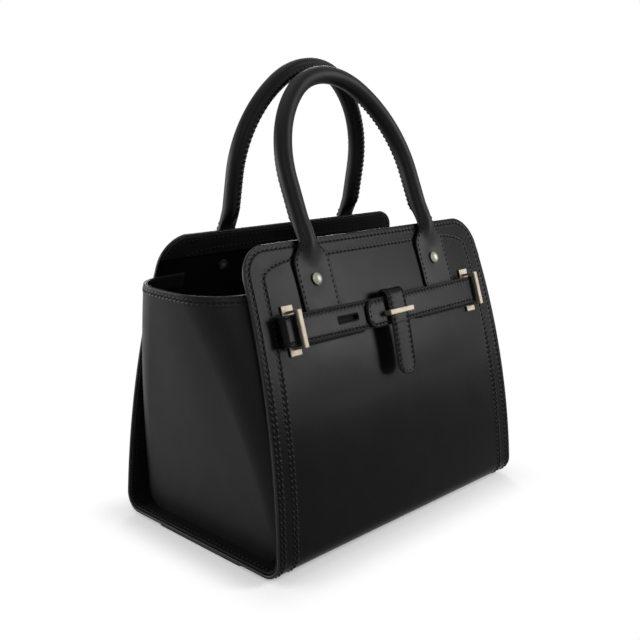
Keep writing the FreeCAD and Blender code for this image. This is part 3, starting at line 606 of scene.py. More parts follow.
def panel_row(inset, top_inset, bend, reach, foot):
    """Seam on a panel, as (across, run): up the left side, round the corners and down the right side."""
    runs = np.arange(foot, top_inset + bend, -0.4)
    side = straight_half(profile(runs)[1]) - inset
    turn = np.linspace(0.0, math.pi / 2, 60)
    corner = float(straight_half(profile(top_inset + bend)[1])) - inset - reach
    right = np.concatenate([side, corner + reach * np.cos(turn)])
    depth = np.concatenate([runs, top_inset + bend - bend * np.sin(turn)])
    row = np.stack([np.concatenate([-right, right[::-1]]), np.concatenate([depth, depth[::-1]])], axis=-1)
    keep = [0]
    for index in range(1, len(row)):
        if math.dist(row[index], row[keep[-1]]) > 0.05:
            keep.append(index)
    row = row[keep]
    way = way_along(row)
    places = np.arange(0.0, way[-1], 0.35)
    return np.interp(places, way, row[:, 0]), np.interp(places, way, row[:, 1]), places


def pucker(across, run, rows):
    """Relief of the leather beside its seams: a groove under the threads, swells on both sides."""
    relief = np.zeros(across.shape)
    low_swell = LOW_SWELL * smooth_step((run - LOW_SWELL_START) / LOW_SWELL_FADE)
    for row_across, row_run, places in rows:
        finder = KDTree(len(places))
        for index, (spot_across, spot_run) in enumerate(zip(row_across, row_run)):
            finder.insert((spot_across, spot_run, 0.0), index)
        finder.balance()
        gaps = np.full(across.shape, np.inf)
        beats = np.zeros(across.shape)
        step = places[-1] / max(int(places[-1] / PITCH), 1)
        row_beats = beat_of(places / step - 0.5)
        for spot in np.ndindex(across.shape):
            if run[spot] <= PANEL_RUN + RELIEF_FOOT:
                _, index, gaps[spot] = finder.find((across[spot], run[spot], 0.0))
                beats[spot] = row_beats[index]
        near = gaps <= RELIEF_REACH
        gap = gaps[near]
        beat = beats[near]
        swell = SWELL * bell(gap - SWELL_OUT, SWELL_HALF)
        swell += low_swell[near] * bell(gap - LOW_SWELL_OUT, LOW_SWELL_HALF, 4)
        relief[near] += swell * (1 - beat) ** 1.5 - groove(gap, beat)
    return relief


def shell(name, rows, across, depth, thick, material, edge, relief=None):
    """Leather that follows the body: rows along its profile, columns across, rounded at every edge."""
    columns = across.shape[1]
    backs = np.array([EDGE_EASE, 0.0, 0.0, EDGE_EASE])
    levels = np.array([EDGE_EASE, EDGE_ROUND, thick - EDGE_ROUND, thick - EDGE_EASE])
    if relief is None:
        relief = np.zeros(across.shape)
    points = []
    for run, side, near, wide, give in zip(*rows, across, relief):
        left = wide[0] - EDGE_ROUND
        right = wide[-1] + EDGE_ROUND
        back = np.linspace(wide[-1], wide[0], BACK_COLUMNS)
        spots = np.concatenate([wide, right - backs, back, left + backs])
        sunk_rim = np.clip(levels, near, thick - near)
        shown = np.clip(near - give, near - 1.0, thick - near)
        depths = np.concatenate([shown, sunk_rim, np.full(BACK_COLUMNS, thick - near), sunk_rim[::-1]])
        points.append(on_body(spots, np.full(len(spots), run), -(depth + depths), side)[0])
    count = len(points[0])
    faces = ring_faces(len(points), count)
    rim = []
    for index in range(len(faces) - 2):
        spot = index % count
        if columns - 1 <= spot < columns + 4 or spot >= columns + BACK_COLUMNS + 3:
            rim.append(index)
    return make_piece(name, np.concatenate(points), faces, material, edge, rim)


def edge_pinch(count, outer, inner):
    """How far each row is thinned: the first two and the last two, which round the edges."""
    pinch = np.zeros(count)
    pinch[[0, -1]] = outer
    pinch[[1, -2]] = inner
    return pinch


def full_profile(first, last_band, step):
    """Rows over front panel, base and rear panel: ways from the top edge, sides and pinches."""
    band = np.arange(first + 1.4, first + last_band, FINE_STEP)
    panel = np.arange(first + last_band, PANEL_RUN, step)
    fold = PANEL_RUN + FOLD_RUN * np.linspace(0.0, 1.0, 43)
    base = np.linspace(PANEL_RUN + FOLD_RUN, HALF_RUN, 9)[1:]
    half = np.concatenate([first + EDGE_ROWS, band, panel, fold, base])
    runs = np.concatenate([half, half[-2::-1]])
    sides = np.concatenate([np.full(len(half), -1.0), np.full(len(half) - 1, 1.0)])
    return runs, sides, edge_pinch(len(runs), EDGE_ROWS[2], EDGE_ROWS[1])


def make_body():
    """Front panel, base and rear panel, with two seams round each panel."""
    rows = full_profile(0.0, SEAM_BAND, PITCH / 8)
    runs = rows[0]
    outer_band = np.arange(1.6, 8.0, FINE_STEP)
    inner_band = np.arange(14.4, 21.6, FINE_STEP)
    plain = np.arange(8.6, 14.0, 1.1)
    band = np.concatenate([[EDGE_ROUND], outer_band, plain, inner_band, [22.8, SEAM_BAND]])
    middle = np.linspace(0.0, 1.0, 261)[1:-1]
    across = []
    for half in edge_half(profile(runs)[1]):
        right = half - band
        inner = right[-1]
        across.append(np.concatenate([-right, -inner + 2 * inner * middle, right[::-1]]))
    across = np.array(across)
    seams = [panel_row(*seam, PANEL_RUN + SEAM_FOOT) for seam in (OUTER_SEAM, INNER_SEAM)]
    relief = pucker(across, np.broadcast_to(runs[:, None], across.shape), seams)
    piece = shell("body_shell", rows, across, 0.0, WRAP_THICK, body_leather, edge_paint, relief)
    dress(piece, "bag", "body_leather", "body_wrap")
    for side, name in ((-1.0, "front_panel_threads"), (1.0, "rear_panel_threads")):
        sew(name, [on_body(row[0], row[1], -SEAM_SINK, side) for row in seams])


def inner_seam(across, run, thick, side):
    """Seam on the inner face of a layer that lies against the body's inside."""
    spots, normals = on_body(across, run, -(LAYER_DEPTH + thick), side)
    return spots, -normals


def make_facings():
    """Second layer inside each top edge, with the other face of the seams."""
    runs = np.concatenate([[1.0, 1.2, 1.8], np.arange(3.0, FACING_HEIGHT, 1.5), [20.2, 20.8, 21.0]])
    pinch = edge_pinch(len(runs), LAYER_ROUND, 0.2)
    half = edge_half(profile(runs)[1]) - LAYER_INSET - EDGE_ROUND
    columns = half[:, None] * np.linspace(-1.0, 1.0, 61)[None, :]
    for side, name in ((-1.0, "front"), (1.0, "rear")):
        rows = (runs, np.full(len(runs), side), pinch)
        label = name + "_facing_band"
        piece = shell(label, rows, columns, LAYER_DEPTH, FACING_THICK, lining_leather, edge_paint)
        dress(piece, "bag", "body_leather", name + "_top_facing")
        seams = []
        for seam in (OUTER_SEAM, INNER_SEAM):
            across, run, _ = panel_row(*seam, FACING_HEIGHT)
            kept = run < FACING_HEIGHT
            seams.append(inner_seam(across[kept], run[kept], FACING_THICK, side))
        sew(name + "_facing_threads", seams)


# Gussets.


def inner_reach(up, depth):
    """Half depth, at a height, of the surface that lies a depth inside the body's outer face."""
    if up < fold_up:
        return fold_out + math.sqrt(max((FOLD - depth) ** 2 - (fold_up - up) ** 2, 0.0))
    return centre_out + math.sqrt((RADIUS - depth) ** 2 - (up - centre_up) ** 2)


sunk = LAYER_DEPTH + GUSSET_THICK / 2
gusset_low = FLOOR_GAP + sunk


def gusset_rim(up, inset, side):
    """Points round a gusset's wall at a height, front panel to rear panel, and its outward directions."""
    share = max((up - gusset_low) / (GUSSET_TOP - gusset_low), 0.0)
    wall = GUSSET_WALL_BASE + (GUSSET_WALL_TOP - GUSSET_WALL_BASE) * share ** GUSSET_BOW - inset
    bend = GUSSET_CORNER_BASE + (GUSSET_CORNER_TOP - GUSSET_CORNER_BASE) * share - inset
    reach = inner_reach(up, sunk) - inset
    bend = min(bend, reach - 0.5)
    turn = np.linspace(0.0, math.pi / 2, 65)
    flat = np.linspace(GUSSET_SEAM, wall - bend, 18)[:-1]
    straight = np.linspace(bend - reach, 0.0, 41)[1:]
    across = np.concatenate([flat, wall - bend + bend * np.sin(turn), np.full(len(straight), wall)])
    deep = np.concatenate([np.full(len(flat), -reach), -reach + bend - bend * np.cos(turn), straight])
    across = np.concatenate([across, across[-2::-1]])
    deep = np.concatenate([deep, -deep[-2::-1]])
    bow = np.clip((across - GUSSET_SEAM) / max(wall - GUSSET_SEAM, 1.0), 0.0, 1.0) ** 3
    fold = sum(np.cos(deep / length + phase) * height for length, phase, height in GUSSET_WAVES)
    across = across + bow * (fold - GUSSET_SLACK) * smooth_step(share * 1.3) * min(share, 1.0)
    points = np.stack([side * across, deep, np.full(len(across), up)], axis=-1)
    ahead = np.gradient(points, axis=0)
    out = np.stack([ahead[:, 1], -ahead[:, 0], np.zeros(len(across))], axis=-1) * side
    return points, unit(out)


def gusset_pucker(up, points):
    """Relief of the wall beside the seam under its top edge."""
    way = way_along(points)
    gap = abs(GUSSET_TOP - GUSSET_ROW - up)
    beat = beat_of((way - way[len(way) // 2]) / PITCH)
    swell = GUSSET_SWELL * (1 - beat) ** 1.5 * bell(gap - SWELL_OUT, SWELL_HALF)
    return swell - groove(gap, beat)


def make_gusset_layer(name, levels, inset, thick, side, material, sewn):
    """Bowed wall as a closed loft: its outer face, its inner face and rounded top and side edges."""
    rings = []
    for up, near in levels:
        outer, out = gusset_rim(up, inset + near, side)
        inner, _ = gusset_rim(up, inset + thick - near, side)
        if sewn:
            outer = outer + out * gusset_pucker(up, outer)[:, None]
        rings.append(np.concatenate([outer, inner[::-4]]))
    count = len(rings[0])
    faces = ring_faces(len(rings), count)
    if side > 0:
        faces = flipped(faces)
    shown = len(outer)
    rim = [index for index in range(len(faces) - 2) if index % count in (shown - 1, count - 1)]
    return make_piece(name, np.concatenate(rings), faces, material, edge_paint, rim)


def make_gussets():
    bend = FOLD - sunk
    heights = [fold_up - bend * math.cos(turn) for turn in np.radians(np.linspace(0.0, 90.0, 8))]
    heights += list(np.linspace(fold_up, GUSSET_TOP - 11.0, 34)[1:])
    heights += list(np.arange(GUSSET_TOP - 10.0, GUSSET_TOP - 0.7, 0.62))
    levels = [(up, 0.0) for up in heights] + list(GUSSET_EDGE)
    hem_foot = GUSSET_TOP - HEM_HEIGHT
    hem_heights = np.linspace(hem_foot + HEM_ROUND, GUSSET_TOP - HEM_ROUND, 6)
    hem_levels = [(hem_foot, HEM_ROUND)] + [(up, 0.0) for up in hem_heights] + [(GUSSET_TOP, HEM_ROUND)]
    inset = GUSSET_THICK + SEAT
    for side, name in ((-1.0, "left"), (1.0, "right")):
        label = name + "_gusset_wall"
        wall = make_gusset_layer(label, levels, 0.0, GUSSET_THICK, side, gusset_leather, True)
        dress(wall, "bag", "body_leather", name + "_gusset")
        label = name + "_gusset_hem_band"
        hem = make_gusset_layer(label, hem_levels, inset, HEM_THICK, side, lining_leather, False)
        dress(hem, "bag", "body_leather", name + "_gusset_hem")
        row, out = gusset_rim(GUSSET_TOP - GUSSET_ROW, GUSSET_SINK, side)
        sew(name + "_gusset_threads", [(row[6:-6], out[6:-6])])
        make_flange(name, side)


def make_flange(name, side):
    """Turned edge of a gusset along front panel, base and rear panel, sewn through."""
    first = run_at(GUSSET_TOP)
    runs, sides, pinch = full_profile(first, 4.0, 4.0)
    outer = edge_half(profile(runs)[1]) - LAYER_INSET - EDGE_ROUND
    inner = np.full(len(runs), GUSSET_SEAM + EDGE_ROUND)
    across = inner[:, None] + (outer - inner)[:, None] * np.linspace(0.0, 1.0, 16)[None, :]
    if side < 0:
        across = -across[:, ::-1]
    rows = (runs, sides, np.minimum(pinch, LAYER_ROUND))
    label = name + "_gusset_flange"
    # The flange's cut rim takes the dark lining leather rather than the lighter edge paint: painted shade
    # along the panel's edge.
    piece = shell(label, rows, across, LAYER_DEPTH, GUSSET_THICK, lining_leather, lining_leather)
    dress(piece, "bag", "body_leather")
    way = np.linspace(first + 4.0, HALF_RUN, 300)
    wide = side * (straight_half(profile(way)[1]) - OUTER_ROW)
    seams = [inner_seam(wide, way, GUSSET_THICK, half) for half in (-1.0, 1.0)]
    sew(name + "_flange_threads", seams)


def make_base():
    """Wear pad under the base, its rim rounded."""
    half = (pad_high.x - pad_low.x) / 2 - PAD_CORNER
    deep = (pad_high.y - pad_low.y) / 2 - PAD_CORNER
    points = []
    for up, near in PAD_RIM:
        bend = PAD_CORNER - near
        for quarter, (right, back) in enumerate(((1, -1), (1, 1), (-1, 1), (-1, -1))):
            for step in range(9):
                turn = (quarter - 1 + step / 8.0) * math.pi / 2
                across = right * half + bend * math.cos(turn)
                points.append((across, back * deep + bend * math.sin(turn), up))
    faces = ring_faces(len(PAD_RIM), len(points) // len(PAD_RIM))
    piece = make_piece("base_wear_pad", points, faces, body_leather)
    dress(piece, "bag", "body_leather", "base_pad")


# Handles: roll, neck and tab in one leather piece.

Station = namedtuple("Station", "spot wide facing half thick square roll")


def hinge_frame(side, tilt):
    """Hinge point of a handle and the up and outward directions of its own plane."""
    middle = SEAT + TAB_THICK / 2
    out = MOUTH_OUT + middle * math.cos(TOP_LEAN) - HINGE_RISE * math.sin(TOP_LEAN)
    up = TOP + middle * math.sin(TOP_LEAN) + HINGE_RISE * math.cos(TOP_LEAN)
    origin = np.array([0.0, side * out, up])
    rise = np.array([0.0, -side * math.sin(tilt), math.cos(tilt)])
    outward = np.array([0.0, side * math.cos(tilt), math.sin(tilt)])
    return origin, rise, outward


def arch_path(step):
    """Half of a handle's line in its own plane, from the neck to the crown: across, up and heading."""
    drop = ARCH - CROWN
    shoulder = (HANDLE_ACROSS ** 2 + drop ** 2 - CROWN ** 2) / (2 * (HANDLE_ACROSS - CROWN))
    swing = math.asin(drop / (shoulder - CROWN))
    path = [(-HANDLE_ACROSS, up, 0.0) for up in np.arange(NECK, LEG, step)]
    for turn in np.arange(0.0, swing, step / shoulder):
        across = shoulder - HANDLE_ACROSS - shoulder * math.cos(turn)
        path.append((across, LEG + shoulder * math.sin(turn), turn))
    for turn in np.linspace(swing, math.pi / 2, int((math.pi / 2 - swing) * CROWN / step)):
        path.append((-CROWN * math.cos(turn), LEG + drop + CROWN * math.sin(turn), turn))
    return path


def tab_half(run):
    """Half width of a tab by the way below the panel's top edge."""
    share = min(max(run / TAB_FLARE, 0.0), 1.0)
    flare = 2 * share ** 2 if share < 0.5 else 1 - 2 * (1 - share) ** 2
    return NECK_HALF + (TAB_HALF - NECK_HALF) * flare


def tab_stations(side):
    """Sections of a left tab, from its foot up to the panel's top edge."""
    foot = run_at(TAB_FOOT)
    corner = foot - np.array([0.0, 0.35, 1.1, 2.4, TAB_CORNER])
    stations = []
    for run in np.concatenate([corner, np.arange(foot - 6.0, 0.0, -1.6)]):
        spots, normals = on_body(np.array([-HANDLE_ACROSS]), np.array([run]), 0.0, side)
        thick = TAB_THICK / 2 + TAB_RISE * smooth_step((TAB_RISE_RUN - run) / TAB_RISE_RUN)
        half = tab_half(run)
        back = TAB_CORNER - (foot - run)
        if back > 0:
            half -= TAB_CORNER - math.sqrt(max(TAB_CORNER ** 2 - back ** 2, 0.0))
        square = TAB_SQUARE - TAB_EASE * float(smooth_step((TAB_EASE_RUN - run) / TAB_EASE_RUN))
        middle = spots[0] + normals[0] * (SEAT + thick)
        stations.append(Station(middle, RIGHT, normals[0], half, thick, square, 0.0))
    return stations


def neck_stations(last, begin, rise, outward, side):
    """Sections from the top of a tab to the start of its roll, on a curve that leaves both smoothly."""
    reach = np.linalg.norm(begin - last.spot)
    lift = np.cross(last.facing, RIGHT) * side
    lift *= math.copysign(1.0, lift[2])
    stations = []
    for share in np.linspace(0.0, 1.0, 16)[1:-1]:
        second = share ** 2
        third = share ** 3
        spot = (2 * third - 3 * second + 1) * last.spot + (third - 2 * second + share) * reach * lift
        spot = spot + (3 * second - 2 * third) * begin + (third - second) * reach * rise
        ease = float(smooth_step(share))
        facing = unit(last.facing + (outward - last.facing) * ease)
        half = last.half + (ROLL - last.half) * ease
        thick = last.thick + (ROLL - last.thick) * ease
        corner = last.square + (ROUND - last.square) * min(1.0, share * 1.3)
        stations.append(Station(spot, RIGHT, facing, half, thick, corner, ease))
    return stations


def handle_stations(side, tilt):
    """Sections along a handle, from the foot of its left tab to the foot of its right tab."""
    origin, rise, outward = hinge_frame(side, tilt)
    stations = tab_stations(side)
    begin = origin + rise * NECK - RIGHT * HANDLE_ACROSS
    stations += neck_stations(stations[-1], begin, rise, outward, side)
    for across, up, turn in arch_path(1.0):
        spot = origin + rise * up + RIGHT * across
        wide = RIGHT * math.cos(turn) - rise * math.sin(turn)
        stations.append(Station(spot, wide, outward, ROLL, ROLL, ROUND, 1.0))
    mirrored = []
    for station in reversed(stations[:-1]):
        mirrored.append(station._replace(spot=station.spot * MIRROR, wide=station.wide * MIRROR))
    return stations + mirrored


def squared_circle(turn, half, thick, square):
    """Outline of a section: round at a squareness of 2 and nearly a box at 7."""
    power = 2.0 / square
    wide = half * np.sign(np.sin(turn)) * np.abs(np.sin(turn)) ** power
    deep = thick * np.sign(np.cos(turn)) * np.abs(np.cos(turn)) ** power
    return wide, deep


def handle_section(station, beat):
    """Outline of a handle from flat tab to round roll, whose inward side is a sewn ridge."""
    form = (station.half, station.thick, station.square)
    fine = np.linspace(0.0, 2 * math.pi, 721)
    way = way_along(np.stack(squared_circle(fine, *form), axis=-1))
    spread = 0.6 * way / way[-1] + 0.4 * fine / fine[-1]
    turn = np.interp(np.arange(SECTION) / SECTION, spread, fine)
    wide, deep = squared_circle(turn, *form)
    inward = np.abs(turn - math.pi)
    fin = bell(inward * ROLL, FIN_HALF, 4) * (FIN_RISE + FIN_BEAT * beat)
    ridge = fin - FIN_CREASE * bell(inward - CREASE_TURN, CREASE_HALF)
    grow = 1 + station.roll * ridge / np.maximum(np.hypot(wide, deep), 1e-6)
    return wide * grow, deep * grow


def neck_bulge(up, roll, across):
    """How far the end of the roll swells the front of its tab, at and below the neck."""
    fade = smooth_step((BULGE_DROP - (TOP - up)) / BULGE_DROP)
    return BULGE * fade * (1 - roll) * bell(across, BULGE_HALF)


def make_handle(name, side, tilt):
    stations = handle_stations(side, tilt)
    rings = []
    for place, station in zip(way_along(np.array([station.spot for station in stations])), stations):
        across, deep = handle_section(station, math.cos(2 * math.pi * place / SEAM_PITCH))
        up = station.spot[2]
        deep = deep + neck_bulge(up, station.roll, across) * np.clip(deep / station.thick, 0.0, 1.0)
        if station.roll == 0.0:
            near = bell(up - RIVET_UP - DENT_RISE, DENT_TALL)
            deep = deep - np.where(deep > 0, RIVET_DENT * near * bell(across, DENT_WIDE), 0.0)
        rings.append(station.spot + np.outer(across, station.wide) + np.outer(deep, station.facing))
    faces = ring_faces(len(rings), SECTION)
    if side < 0:
        faces = flipped(faces)
    piece = make_piece(name + "_handle_leather", np.concatenate(rings), faces, handle_leather)
    origin, rise, _ = hinge_frame(side, tilt)
    start = tuple((origin - rise * BEND_BELOW) * MM)
    end = tuple((origin + rise * BEND_ABOVE) * MM)
    body = name + "_handle"
    nodes = (name + "_handle_cover", name + "_left_handle_tab", name + "_right_handle_tab")
    dress_bending(piece, body, start, end, *nodes)
    seam = stitches(name + "_handle_threads", ridge_rows(stations), SEAM_PITCH, SEAM_HALF, SEAM_RADIUS)
    dress_bending(seam, body, start, end)
    seam = stitches(name + "_tab_threads", tab_rows(stations), STRAP_PITCH)
    dress_bending(seam, body, start, end)


def columns_of(stations):
    """Stations as one array for each of their values."""
    return [np.array(column) for column in zip(*stations)]


def ridge_rows(stations):
    """Seams on both flanks of the ridge along the roll."""
    rolled = [station for station in stations if station.roll > RIDGE_ROLL]
    spot, wide, facing, _, thick, _, _ = columns_of(rolled)
    rows = []
    for flank in (-1.0, 1.0):
        path = spot + wide * (flank * FIN_HALF) - facing * (thick + RIDGE_SINK)[:, None]
        rows.append((path, wide * flank - facing * RIDGE_LEAN))
    return rows


def tab_rows(stations):
    """Seams along both edges of each tab."""
    flat = [station for station in stations if station.roll < TAB_ROLL]
    split = len(flat) // 2
    rows = []
    for tab in (flat[:split], flat[split:]):
        spot, wide, facing, half, thick, square, roll = columns_of(tab)
        share = 1.0 - STRAP_ROW / half
        lift = thick * (1 - share ** square) ** (1 / square)
        lift = lift + neck_bulge(spot[:, 2], roll, half * share) * lift / thick
        for edge in (-1.0, 1.0):
            path = spot + wide * (edge * half * share)[:, None] + facing * (lift - TAB_SINK)[:, None]
            rows.append((path, facing + wide * (edge * TAB_LEAN * (1 + roll))[:, None]))
    return rows


# Belt and closure, in a frame on the front panel: across, up the panel, outward.
belt_run = run_at(BELT_UP)
belt_lean = TOP_LEAN - belt_run / RADIUS
belt_origin = np.array([0.0, -float(profile(belt_run)[0]), BELT_UP])
belt_rise = np.array([0.0, math.sin(belt_lean), math.cos(belt_lean)])
belt_outward = np.array([0.0, -math.cos(belt_lean), math.sin(belt_lean)])


def on_belt(across, up, level):
    across, up, level = [np.asarray(value, float)[..., None] for value in (across, up, level)]
    return belt_origin + across * RIGHT + up * belt_rise + level * belt_outward


class Strap:
    """Flat strap along a line: middles, side and outward directions by the way along it."""

    def __init__(self, middles, wides, facings, half, thick):
        self.middles = middles
        self.wides = wides
        self.facings = facings
        self.half = half
        self.thick = thick
        self.way = way_along(middles)
        self.length = self.way[-1]

    def at(self, ways, sides, lifts):
        """Points and outward directions at places along and across the strap."""
        facings = unit(read_along(ways, self.way, self.facings))
        wides = read_along(ways, self.way, self.wides)
        spots = read_along(ways, self.way, self.middles) + wides * sides[:, None]
        return spots + facings * lifts[:, None], facings

    def half_at(self, way, first_bend, last_bend):
        """Half width at a place, less where an end is rounded."""
        half = self.half
        for gap, bend in ((way, first_bend), (self.length - way, last_bend)):
            if gap < bend:
                half -= bend - math.sqrt(max(bend ** 2 - (bend - gap) ** 2, 0.0))
        return max(half, 0.3)

    def ring(self, way, half):
        """Section at a place: sewn face, edge, plain back and edge."""
        soft = self.thick / 2 - STRAP_THIN * max(0.0, 1 - min(way, self.length - way) / 0.5)
        shrink = min(1.0, half / self.half)
        right = half - STRAP_COLUMNS * shrink
        face = np.concatenate([-right, [0.0], right[::-1]])
        gaps = np.concatenate([STRAP_COLUMNS, [STRAP_MIDDLE], STRAP_COLUMNS[::-1]]) - STRAP_ROW
        beat = beat_of(way / STRAP_PITCH)
        swell = STRAP_SWELL * (1 - beat) * bell(np.abs(gaps) - STRAP_SWELL_OUT, STRAP_SWELL_HALF)
        relief = (swell - groove(gaps, beat, STRAP_GROOVE_HALF)) * shrink
        level = np.full(len(face), soft)
        level[[0, -1]] -= STRAP_EASE
        edge = np.array([soft * STRAP_FLANK, -soft * STRAP_FLANK])
        sides = np.concatenate([face, [half, half], face[::-1], [-half, -half]])
        lifts = np.concatenate([level + relief, edge, -level, -edge])
        return self.at(np.full(len(sides), way), sides, lifts)[0]

    def make(self, name, first_bend=0.0, last_bend=0.0):
        """Closed strap with rounded edges, a groove beside each edge and rounded ends."""
        first = STRAP_ENDS[STRAP_ENDS <= max(first_bend, 0.5)]
        last = self.length - STRAP_ENDS[STRAP_ENDS <= max(last_bend, 0.5)][::-1]
        inner = np.linspace(first[-1], last[0], int((last[0] - first[-1]) / STRAP_STEP))[1:-1]
        ways = np.concatenate([first, inner, last])
        rings = [self.ring(way, self.half_at(way, first_bend, last_bend)) for way in ways]
        count = len(rings[0])
        faces = ring_faces(len(rings), count)
        shown = len(STRAP_COLUMNS) * 2 + 1
        rim = []
        back = []
        for index in range(len(faces) - 2):
            spot = index % count
            if shown + 2 <= spot < 2 * shown + 1:
                back.append(index)
            elif spot >= shown - 1:
                rim.append(index)
        along = self.middles[1] - self.middles[0]
        if np.dot(np.cross(self.wides[0], along), self.facings[0]) < 0:
            faces = flipped(faces)
        piece = make_piece(name, np.concatenate(rings), faces, strap_leather, edge_paint, rim)
        piece.data.materials.append(lining_leather)
        for index in back:
            piece.data.polygons[index].material_index = 2
        return piece

    def edge_rows(self, begin, finish, bend=0.0):
        """Seams along both edges, joined round the far end where that is rounded."""
        straight = np.arange(begin, finish - bend, 0.5)
        right = np.full(len(straight), self.half - STRAP_ROW)
        if not bend:
            return [self.row(straight, right), self.row(straight[::-1], -right)]
        turn = np.linspace(0.0, math.pi / 2, 24)
        around = finish - bend + (bend - STRAP_ROW) * np.sin(turn)
        aside = self.half - bend + (bend - STRAP_ROW) * np.cos(turn)
        ways = np.concatenate([straight, around, around[::-1], straight[::-1]])
        return [self.row(ways, np.concatenate([right, aside, -aside[::-1], -right]))]

    def row(self, ways, sides):
        return self.at(ways, sides, np.full(len(ways), self.thick / 2 - STRAP_SINK))


def belt_line(side, inner_end, dip):
    """One belt half from its inner end out to the fold and back behind itself: across, level and up."""
    radius = (BELT_LEVEL - RETURN_LEVEL) / 2
    middle = (BELT_LEVEL + RETURN_LEVEL) / 2
    run = BELT_FOLD + inner_end
    line = []
    for way in np.arange(0.0, run, BELT_STEP):
        share = way / run
        level = BELT_LEVEL - dip * (1 - share) + BELT_BOW * math.sin(math.pi * share)
        line.append((side * (way - inner_end), level, -BELT_HANG * (1 - share)))
    for turn in np.linspace(0.0, math.pi, 15)[:-1]:
        line.append((side * (BELT_FOLD + radius * math.sin(turn)), middle + radius * math.cos(turn), 0.0))
    for across in np.arange(BELT_FOLD, RETURN_END, -BELT_STEP):
        drop = RETURN_DROP * float(smooth_step((BELT_FOLD - across) / RETURN_DROP_RUN))
        line.append((side * across, RETURN_LEVEL, -drop))
    return np.array(line).T


def belt_half(side, inner_end, dip):
    across, level, up = belt_line(side, inner_end, dip)
    ahead = unit(np.stack([np.gradient(across), np.gradient(level)], axis=-1))
    facings = side * (ahead[:, 0:1] * belt_outward - ahead[:, 1:2] * RIGHT)
    wides = np.tile(belt_rise, (len(across), 1))
    return Strap(on_belt(across, up, level), wides, facings, BELT_HALF, BELT_THICK)


def cut_slot(piece):
    """Spare slot through the front layer of the left belt half, its walls in the dark lining leather as
    painted shade inside the slot.
    """
    half = SLOT_WIDTH / 2
    reach = SLOT_HALF - half
    hang = BELT_HANG * (1 - (LEFT_END - SLOT_ACROSS) / (LEFT_END + BELT_FOLD))
    outline = []
    for middle, begin in ((reach, -math.pi / 2), (-reach, math.pi / 2)):
        for step in range(9):
            turn = begin + math.pi * step / 8
            outline.append((SLOT_ACROSS + middle + half * math.cos(turn), half * math.sin(turn) - hang))
    across, up = np.array(outline).T
    rings = np.concatenate([on_belt(across, up, np.full(len(outline), level)) for level in SLOT_LEVELS])
    cutter = make_piece("slot_cutter", rings, ring_faces(2, len(outline)), strap_leather)
    for material in (edge_paint, lining_leather):
        cutter.data.materials.append(material)
    # Every cutter face takes the lining leather, so the slot walls are dark as painted shade rather than
    # edge paint.
    cutter.data.polygons.foreach_set("material_index", [2] * len(cutter.data.polygons))
    hole = piece.modifiers.new("slot", "BOOLEAN")
    hole.operation = "DIFFERENCE"
    hole.solver = "EXACT"
    hole.object = cutter
    bpy.context.view_layer.update()
    graph = bpy.context.evaluated_depsgraph_get()
    mesh = bpy.data.meshes.new_from_object(piece.evaluated_get(graph))
    piece.modifiers.clear()
    piece.data = mesh
    bpy.data.objects.remove(cutter)


def make_belts():
    """Left half with its spare slot, and right half with a rounded end that lies over it."""
    left = belt_half(-1, LEFT_END, LEFT_DIP)
    piece = left.make("left_belt_leather")
    cut_slot(piece)
    dress(piece, "bag", "strap_leather", "left_belt")
    sew("left_belt_threads", left.edge_rows(LEFT_ROW_START, left.length - ROW_END), STRAP_PITCH)
    right = belt_half(1, RIGHT_END, 0.0)
    piece = right.make("right_belt_leather", BELT_END_BEND)
    dress(piece, "bag", "strap_leather", "right_belt")
    rows = right.edge_rows(BELT_END_BEND, right.length - ROW_END)
    turn = np.linspace(-math.pi / 2, math.pi / 2, 60)
    bend = BELT_END_BEND - STRAP_ROW
    ways = BELT_END_BEND - bend * np.cos(turn)
    sides = np.sign(turn) * (BELT_HALF - BELT_END_BEND) + bend * np.sin(turn)
    rows.append(right.row(ways, sides))
    sew("right_belt_threads", rows, STRAP_PITCH)


def make_closure():
    """Strap that is sewn behind the belt, loops over it and hangs free under the centre bar."""
    radius = (STRAP_FRONT - STRAP_BACK) / 2
    middle = (STRAP_FRONT + STRAP_BACK) / 2
    line = [(up, STRAP_BACK) for up in np.arange(-STRAP_ROOT, STRAP_RISE, 1.2)]
    for turn in np.linspace(0.0, math.pi, 21)[:-1]:
        line.append((STRAP_RISE + radius * math.sin(turn), middle - radius * math.cos(turn)))
    line += [(up, STRAP_FRONT) for up in np.arange(STRAP_RISE, -TONGUE_HINGE + 1.0, -1.2)]
    for way in np.arange(0.0, TONGUE_LENGTH + 0.01, 1.0):
        bend = TONGUE_TILT * min(1.0, way / TONGUE_TILT_RUN)
        line.append((-TONGUE_HINGE - way * math.cos(bend), STRAP_FRONT - way * math.sin(bend)))
    up, level = np.array(line).T
    ahead = unit(np.stack([np.gradient(up), np.gradient(level)], axis=-1))
    facings = ahead[:, 1:2] * belt_rise - ahead[:, 0:1] * belt_outward
    wides = np.tile(RIGHT, (len(line), 1))
    strap = Strap(on_belt(np.zeros(len(line)), up, level), wides, facings, STRAP_HALF, STRAP_THICK)
    start = tuple(on_belt(0.0, -TONGUE_HINGE + BLEND_UP, STRAP_FRONT - BLEND_OUT) * MM)
    end = tuple(on_belt(0.0, -TONGUE_HINGE - BLEND_UP, STRAP_FRONT + BLEND_OUT) * MM)
    piece = strap.make("closure_strap_leather", 0.0, TONGUE_BEND)
    dress_bending(piece, "tongue", start, end, "closure_strap", "closure_tongue")
    rows = strap.edge_rows(STRAP_ROW_START, strap.length, TONGUE_BEND)
    dress_bending(stitches("closure_threads", rows, STRAP_PITCH), "tongue", start, end)


# Hardware.


